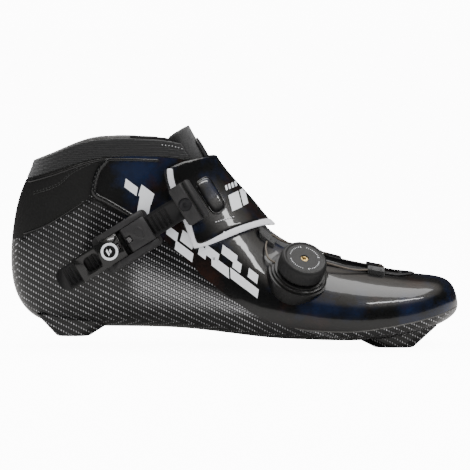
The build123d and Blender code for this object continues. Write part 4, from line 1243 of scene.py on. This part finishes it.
# %% A raised pad with round corners
def pad_faces(rows, columns):
    """Faces of two layers of a grid joined round the border, and the border's numbers."""
    width, count = columns + 1, (rows + 1) * (columns + 1)
    faces = []
    for row in range(rows):
        for column in range(columns):
            a = row * width + column
            faces.append((a, a + width, a + width + 1, a + 1))
            faces.append((a + count, a + 1 + count, a + width + 1 + count, a + width + count))
    border = list(range(width)) + [row * width + columns for row in range(1, rows + 1)]
    border += [rows * width + column for column in range(columns - 1, -1, -1)]
    border += [row * width for row in range(rows - 1, 0, -1)]
    faces += [(a, b, b + count, a + count) for a, b in zip(border, border[1:] + border[:1])]
    return faces, border


def raised_pad(name, lay, size, corner, rise, finish, body="root", flip=False):
    """A pad laid by lay(u, w); corner is a power, rise is (edge, dome, curve, depth) in millimetres."""
    rows, columns = size
    edge, dome, curve, depth = rise
    verts = []
    for layer in ("top", "bottom"):
        for row in range(rows + 1):
            for column in range(columns + 1):
                u, w = 2.0 * column / columns - 1.0, 2.0 * row / rows - 1.0
                longest = max(abs(u), abs(w), 1e-6)
                draw_in = longest / ((abs(u) ** corner + abs(w) ** corner) ** (1 / corner) or 1e-6)
                u, w = u * draw_in, w * draw_in
                inside = max(0.0, 1.0 - (abs(u) ** corner + abs(w) ** corner))
                point, normal = lay(u, w)
                height = edge + dome * inside**curve if layer == "top" else -depth
                verts.append(point + normal * mm * height)
    faces, border = pad_faces(rows, columns)
    piece = new_piece(name, verts, [face[::-1] for face in faces] if flip else faces, finish, body)
    return piece, [verts[number] for number in border + border[:1]]


print("pad helpers: pad_faces, raised_pad")

# %% [markdown]
# The strap's pad lies along the ladder's holder, with a thin gloss cord round it.

# %% Pad on the strap
pad_middle, pad_half_long, pad_half_wide = (-111.6, 91.6), 11.2, 4.8
pad_along, pad_across = Vector((0.53, 0.0, -0.85)), Vector((0.85, 0.0, 0.53))


def on_strap(u, w):
    """A place on the strap; u across the pad and w along it, each from -1 to 1."""
    at = pad_across * u * pad_half_wide + pad_along * w * pad_half_long
    return on_side(pad_middle[0] + at.x, pad_middle[1] + at.z, 0.0, strap_skin)


pad_rise = (0.25, 1.0, 0.45, 0.3)
strap_pad, pad_outline = raised_pad("strap_pad", on_strap, (30, 18), 4, pad_rise, "patent_upper")
pad_normal = Vector((0.2, -0.9, 0.4)).normalized()
bead("strap_pad_cord", [(point, pad_normal) for point in pad_outline], 0.45, 0.4, "gloss_trim")
print("pad points:", len(strap_pad.data.vertices))


# %% [markdown]
# ## Buckle details
# The badge and the thumb dimple are placed in the buckle's own directions, taken from
# the ladder's slide and the lever's hinge.  The lever stands askew to the boot, so the
# boot's directions wouldn't fit it.

# %% The buckle's own directions
def centre_of(node):
    """The middle of a part's box."""
    low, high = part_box(node)
    return (low + high) / 2


buckle_along = Vector(joints["ladder_slide"]["axis"]).normalized()
buckle_cross = Vector(joints["lever_open"]["axis"]).normalized()
buckle_out = buckle_along.cross(buckle_cross).normalized()
if buckle_out.y > 0:
    buckle_out = -buckle_out
print("out of the buckle:", [round(part, 2) for part in buckle_out])


# %% [markdown]
# On the lever is a dark polished disc with a white ring.  The ring is printed with a
# slight edge, so it is a low strip with sloped sides rather than a flat decal.

# %% Badge: its place, and the white ring
badge_centre = centre_of("lever_badge")
badge_radius = reach("lever_badge", badge_centre, buckle_out)
badge_top = max(heights("lever_badge", badge_centre, buckle_out))


def on_badge(along, cross, lift):
    """A point on the badge, in shares of its radius; lift in millimetres."""
    flat = buckle_along * along + buckle_cross * cross
    return badge_centre + flat * badge_radius + buckle_out * (badge_top + lift * mm)


ring_steps = 64
ring_profile = ((0.70, 0.02), (0.73, 0.22), (0.95, 0.22), (0.98, 0.02))
ring_verts = []
for step in range(ring_steps):
    along, cross = math.cos(math.tau * step / ring_steps), math.sin(math.tau * step / ring_steps)
    ring_verts += [on_badge(radius * along, radius * cross, lift) for radius, lift in ring_profile]
new_piece("badge_ring", ring_verts, round_faces(ring_steps, len(ring_profile)), "white_print", "lever")
print("badge radius:", round(badge_radius / mm, 2))

# %% [markdown]
# Inside the ring are two plain bars with sheared ends, each a thin block.

# %% Badge: two bars
bar_half_wide, bar_shear, bar_height = 0.11, 0.14, 0.2
box_faces = ((4, 5, 6, 7), (0, 1, 5, 4), (1, 2, 6, 5), (2, 3, 7, 6), (3, 0, 4, 7))
bar_verts, bar_faces = [], []
for middle, long in ((-0.2, 0.8), (0.12, 0.5)):
    bar_faces += [tuple(len(bar_verts) + number for number in face) for face in box_faces]
    corners = [
        (middle - bar_half_wide, -long / 2), (middle + bar_half_wide, -long / 2 + bar_shear),
        (middle + bar_half_wide, long / 2), (middle - bar_half_wide, long / 2 - bar_shear),
    ]
    bar_verts += [on_badge(along, cross, lift) for lift in (0.0, bar_height) for along, cross in corners]
new_piece("badge_bars", bar_verts, bar_faces, "white_print", "lever", smooth=False)
print("badge bars:", len(bar_verts) // 8)

# %% [markdown]
# The pawl has an oval dimple for the thumb.  Its lip is a bead laid on the pawl, which is
# simpler than cutting the part and catches the light in the same place.

# %% Lip of the thumb dimple
pawl_skin = surface_of("release_pawl")
dimple_middle = centre_of("release_pawl") + buckle_along * 1.5 * mm
dimple_half_long, dimple_half_wide, dimple_steps = 2.1, 3.9, 40
lip_places = []
for step in range(dimple_steps + 1):
    turn = math.tau * step / dimple_steps
    aside = buckle_along * dimple_half_long * math.cos(turn)
    aside += buckle_cross * dimple_half_wide * math.sin(turn)
    start = dimple_middle + (aside + buckle_out * 20) * mm
    lip_places.append(drop(pawl_skin, start, -buckle_out, 0.02 * mm))
bead("thumb_lip", lip_places, 0.38, 0.26, "buckle_nylon", "pawl")
print("lip steps:", dimple_steps)

# %% [markdown]
# ## Edges and small trims
# A pale satin bead marks where the sole's rim meets the upper, from mid-foot to toe.  It
# is lighter than the shell and the upper on either side.

# %% Bead along the sole's rim
rim_line = [(-62, 13.8), (-52, 12.4), (-28.4, 11.8), (-6.6, 14.2), (15.7, 18.2), (28, 21.3), (36.0, 24.0)]
rim_places = seam_on_side(rim_line, 0.0, 0.8)
bead("sole_rim", rim_places, 0.42, 0.34, "rim_satin")
print("rim steps:", len(rim_places))

# %% [markdown]
# The tab on the tongue's front is leather, folded and bound round its edge.  It crosses
# the tongue's fold.

# %% Folded tab on the tongue's front
tongue_skin = surface_of("tongue", "tongue_flap")
tab_centre, tab_normal = drop(tongue_skin, (-0.09, 0.0, 0.127), Vector((-1.0, 0.0, -0.35)).normalized())
tab_up = Vector((-0.55, 0.0, 0.84))
tab_up = (tab_up - tab_normal * tab_up.dot(tab_normal)).normalized()
tab_side = tab_up.cross(tab_normal).normalized()
tab_half_wide, tab_half_tall = 7.0, 8.0


def on_tongue(u, w):
    """A place on the tongue; u across the tab and w up it, each from -1 to 1."""
    aside = tab_side * u * tab_half_wide + tab_up * w * tab_half_tall
    return drop(tongue_skin, tab_centre + (aside + tab_normal * 15) * mm, -tab_normal)


tongue_tab, tab_outline = raised_pad(
    "tongue_tab", on_tongue, (24, 18), 5, (0.35, 1.0, 0.25, 0.2), "eyestay_leather", body=None, flip=True
)
tab_rim = [(point + tab_normal * 0.3 * mm, tab_normal) for point in tab_outline]
tab_edge = bead("tab_edge", tab_rim, 0.55, 0.5, "gloss_trim", body=None)
bend_with_tongue(tongue_tab)
bend_with_tongue(tab_edge)
print("tab centre:", [round(value / mm, 1) for value in tab_centre])

# %% [markdown]
# Webbing loops carry the cable.  Each has a bound edge on both sides, laid over the loop's
# own surface; the rear loop leans outward with the boot, and the others face up.

# %% Bound edges on the cable's loops
edge_steps, edge_share, far_off = 14, 0.86, 0.012
guides = {
    "lace_guide_rear": (0.2, -0.8, 0.6), "lace_guide_front": (0, -0.5, 1.0),
    "lace_guide_front_inner": (0, 0.5, 1.0), "lace_guide_middle_inner": (0, 0.5, 1.0),
}
loop_edges = 0
for guide, facing in guides.items():
    low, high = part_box(guide)
    middle, guide_skin, outward = (low + high) / 2, surface_of(guide), Vector(facing).normalized()
    for share in (0.22, 0.78):
        places = []
        for step in range(edge_steps + 1):
            aside = (step / edge_steps - 0.5) * (high.y - low.y) * edge_share
            start = Vector((low.x + (high.x - low.x) * share, middle.y + aside, middle.z)) + outward * 0.02
            places.append(drop(guide_skin, start, -outward, 0.05 * mm))
        places = [place for place in places if (place[0] - middle).length < far_off]
        if len(places) > 4:
            bead("guide_edge", places, 0.45, 0.4, "thread")
            loop_edges += 1
print("loop edges:", loop_edges)

# %% [markdown]
# ## Floor, light and camera
# The floor is a wide pale sheet, so it has no edge or fold from any side.  It glows for
# the camera only, which makes it as white as the room behind; in reflections it is
# darker, or the carbon would go grey.

# %% Floor
floor_reach = 40.0
floor_corners = [(-1, -1), (1, -1), (1, 1), (-1, 1)]
floor_corners = [(x * floor_reach, y * floor_reach, cad_box[0].z) for x, y in floor_corners]
floor_mesh = bpy.data.meshes.new("floor")
floor_mesh.from_pydata(floor_corners, [], [(0, 1, 2, 3)])
floor = bpy.data.objects.new("floor", floor_mesh)
scene.collection.objects.link(floor)
glow = 11.0
tree, shader, position = new_finish(
    "floor_paint", Roughness=0.9, Specular_IOR_Level=0.1, Emission_Strength=glow
)
tint = effect(tree, smudge_and_sheen_group, Position=position, Size=0.5)
paint = ramp(tree, tint["Amount"], [(0.2, grey(0.90)), (0.8, grey(0.94))])
rays = add_node(tree, "ShaderNodeLightPath").outputs
in_gloss = mixed_colour(tree, rays["Is Glossy Ray"], paint, (0.4, 0.39, 0.38, 1))
put(tree, shader.inputs["Base Color"], in_gloss)
seen_glow = mixed_colour(tree, rays["Is Camera Ray"], (0, 0, 0, 1), (1, 1, 1, 1))
put(tree, shader.inputs["Emission Color"], seen_glow)
dress(floor, "floor_paint")
print("floor at", round(cad_box[0].z / mm, 2), "mm")

# %% [markdown]
# The room is an even white.  A glossy black boot in an even room looks flat, so in
# reflections the room is dark below and softly lit above, as under a studio ceiling.

# %% Room
world = bpy.data.worlds.new("studio")
scene.world = world
world.use_nodes = True
tree = world.node_tree
tree.nodes.clear()
rays = add_node(tree, "ShaderNodeLightPath").outputs
heading = add_node(tree, "ShaderNodeTexCoord").outputs["Generated"]
height = add_node(tree, "ShaderNodeSeparateXYZ", {"Vector": heading}).outputs["Z"]
dim, warm, warm_above = grey(0.02), (0.5, 0.46, 0.42), (0.6, 0.57, 0.54)
ceiling = ramp(tree, height, [(0.0, dim), (0.60, dim), (0.74, warm), (1.0, warm_above)])
room = add_node(tree, "ShaderNodeBackground", {"Color": (1, 1, 1, 1), "Strength": 1.1}).outputs[0]
reflected = add_node(tree, "ShaderNodeBackground", {"Color": ceiling, "Strength": 1.0}).outputs[0]
backdrop = add_node(tree, "ShaderNodeBackground", {"Color": (1, 1, 1, 1), "Strength": 12.2}).outputs[0]
lit = add_node(tree, "ShaderNodeMixShader", {0: rays["Is Glossy Ray"], 1: room, 2: reflected}).outputs[0]
shown = add_node(tree, "ShaderNodeMixShader", {0: rays["Is Camera Ray"], 1: lit, 2: backdrop}).outputs[0]
add_node(tree, "ShaderNodeOutputWorld", {"Surface": shown})
print("room nodes:", len(tree.nodes))


# %% [markdown]
# One large overhead panel gives the gloss its long soft shine, and a low strip in front
# draws the bright line along the toe.  Panels are used rather than spots, because a
# gloss shows the shape of its light.

# %% Lights
def panel_light(name, place, target, width, height, power):
    """A rectangular light that faces a target; metres and watts."""
    light = bpy.data.lights.new(name, "AREA")
    light.shape = "RECTANGLE"
    light.size = width
    light.size_y = height
    light.energy = power
    holder = bpy.data.objects.new(name, light)
    holder.location = place
    holder.rotation_euler = (Vector(target) - Vector(place)).to_track_quat("-Z", "Y").to_euler()
    scene.collection.objects.link(holder)


boot_middle, toe_cap = (-0.097, 0.0, 0.05), (0.0, -0.04, 0.03)
panel_light("overhead", (-0.1, 0.1, 1.1), boot_middle, 1.4, 0.7, 9)
panel_light("toe strip", (0.42, -0.42, 0.85), toe_cap, 0.6, 0.05, 1.6)
print("lights:", len(bpy.data.lights))

# %% [markdown]
# The camera stands square to the outer side and a little above the sole, far enough off
# that the boot isn't stretched.  The lens is worked out from the width to be shown, so
# the distance can change without changing the frame.

# %% Camera
camera_rise, camera_distance, frame_width = math.radians(3.5), 2.2, 0.2839
seen = Vector((-0.0972, 0.0, 0.0666))
away = Vector((0, -math.cos(camera_rise), math.sin(camera_rise)))
camera = bpy.data.cameras.new("camera")
camera.lens = camera.sensor_width * camera_distance / frame_width
camera_object = bpy.data.objects.new("camera", camera)
camera_object.location = seen + away * camera_distance
camera_object.rotation_euler = (-away).to_track_quat("-Z", "Y").to_euler()
scene.collection.objects.link(camera_object)
scene.camera = camera_object
print("lens:", round(camera.lens, 1), "mm")
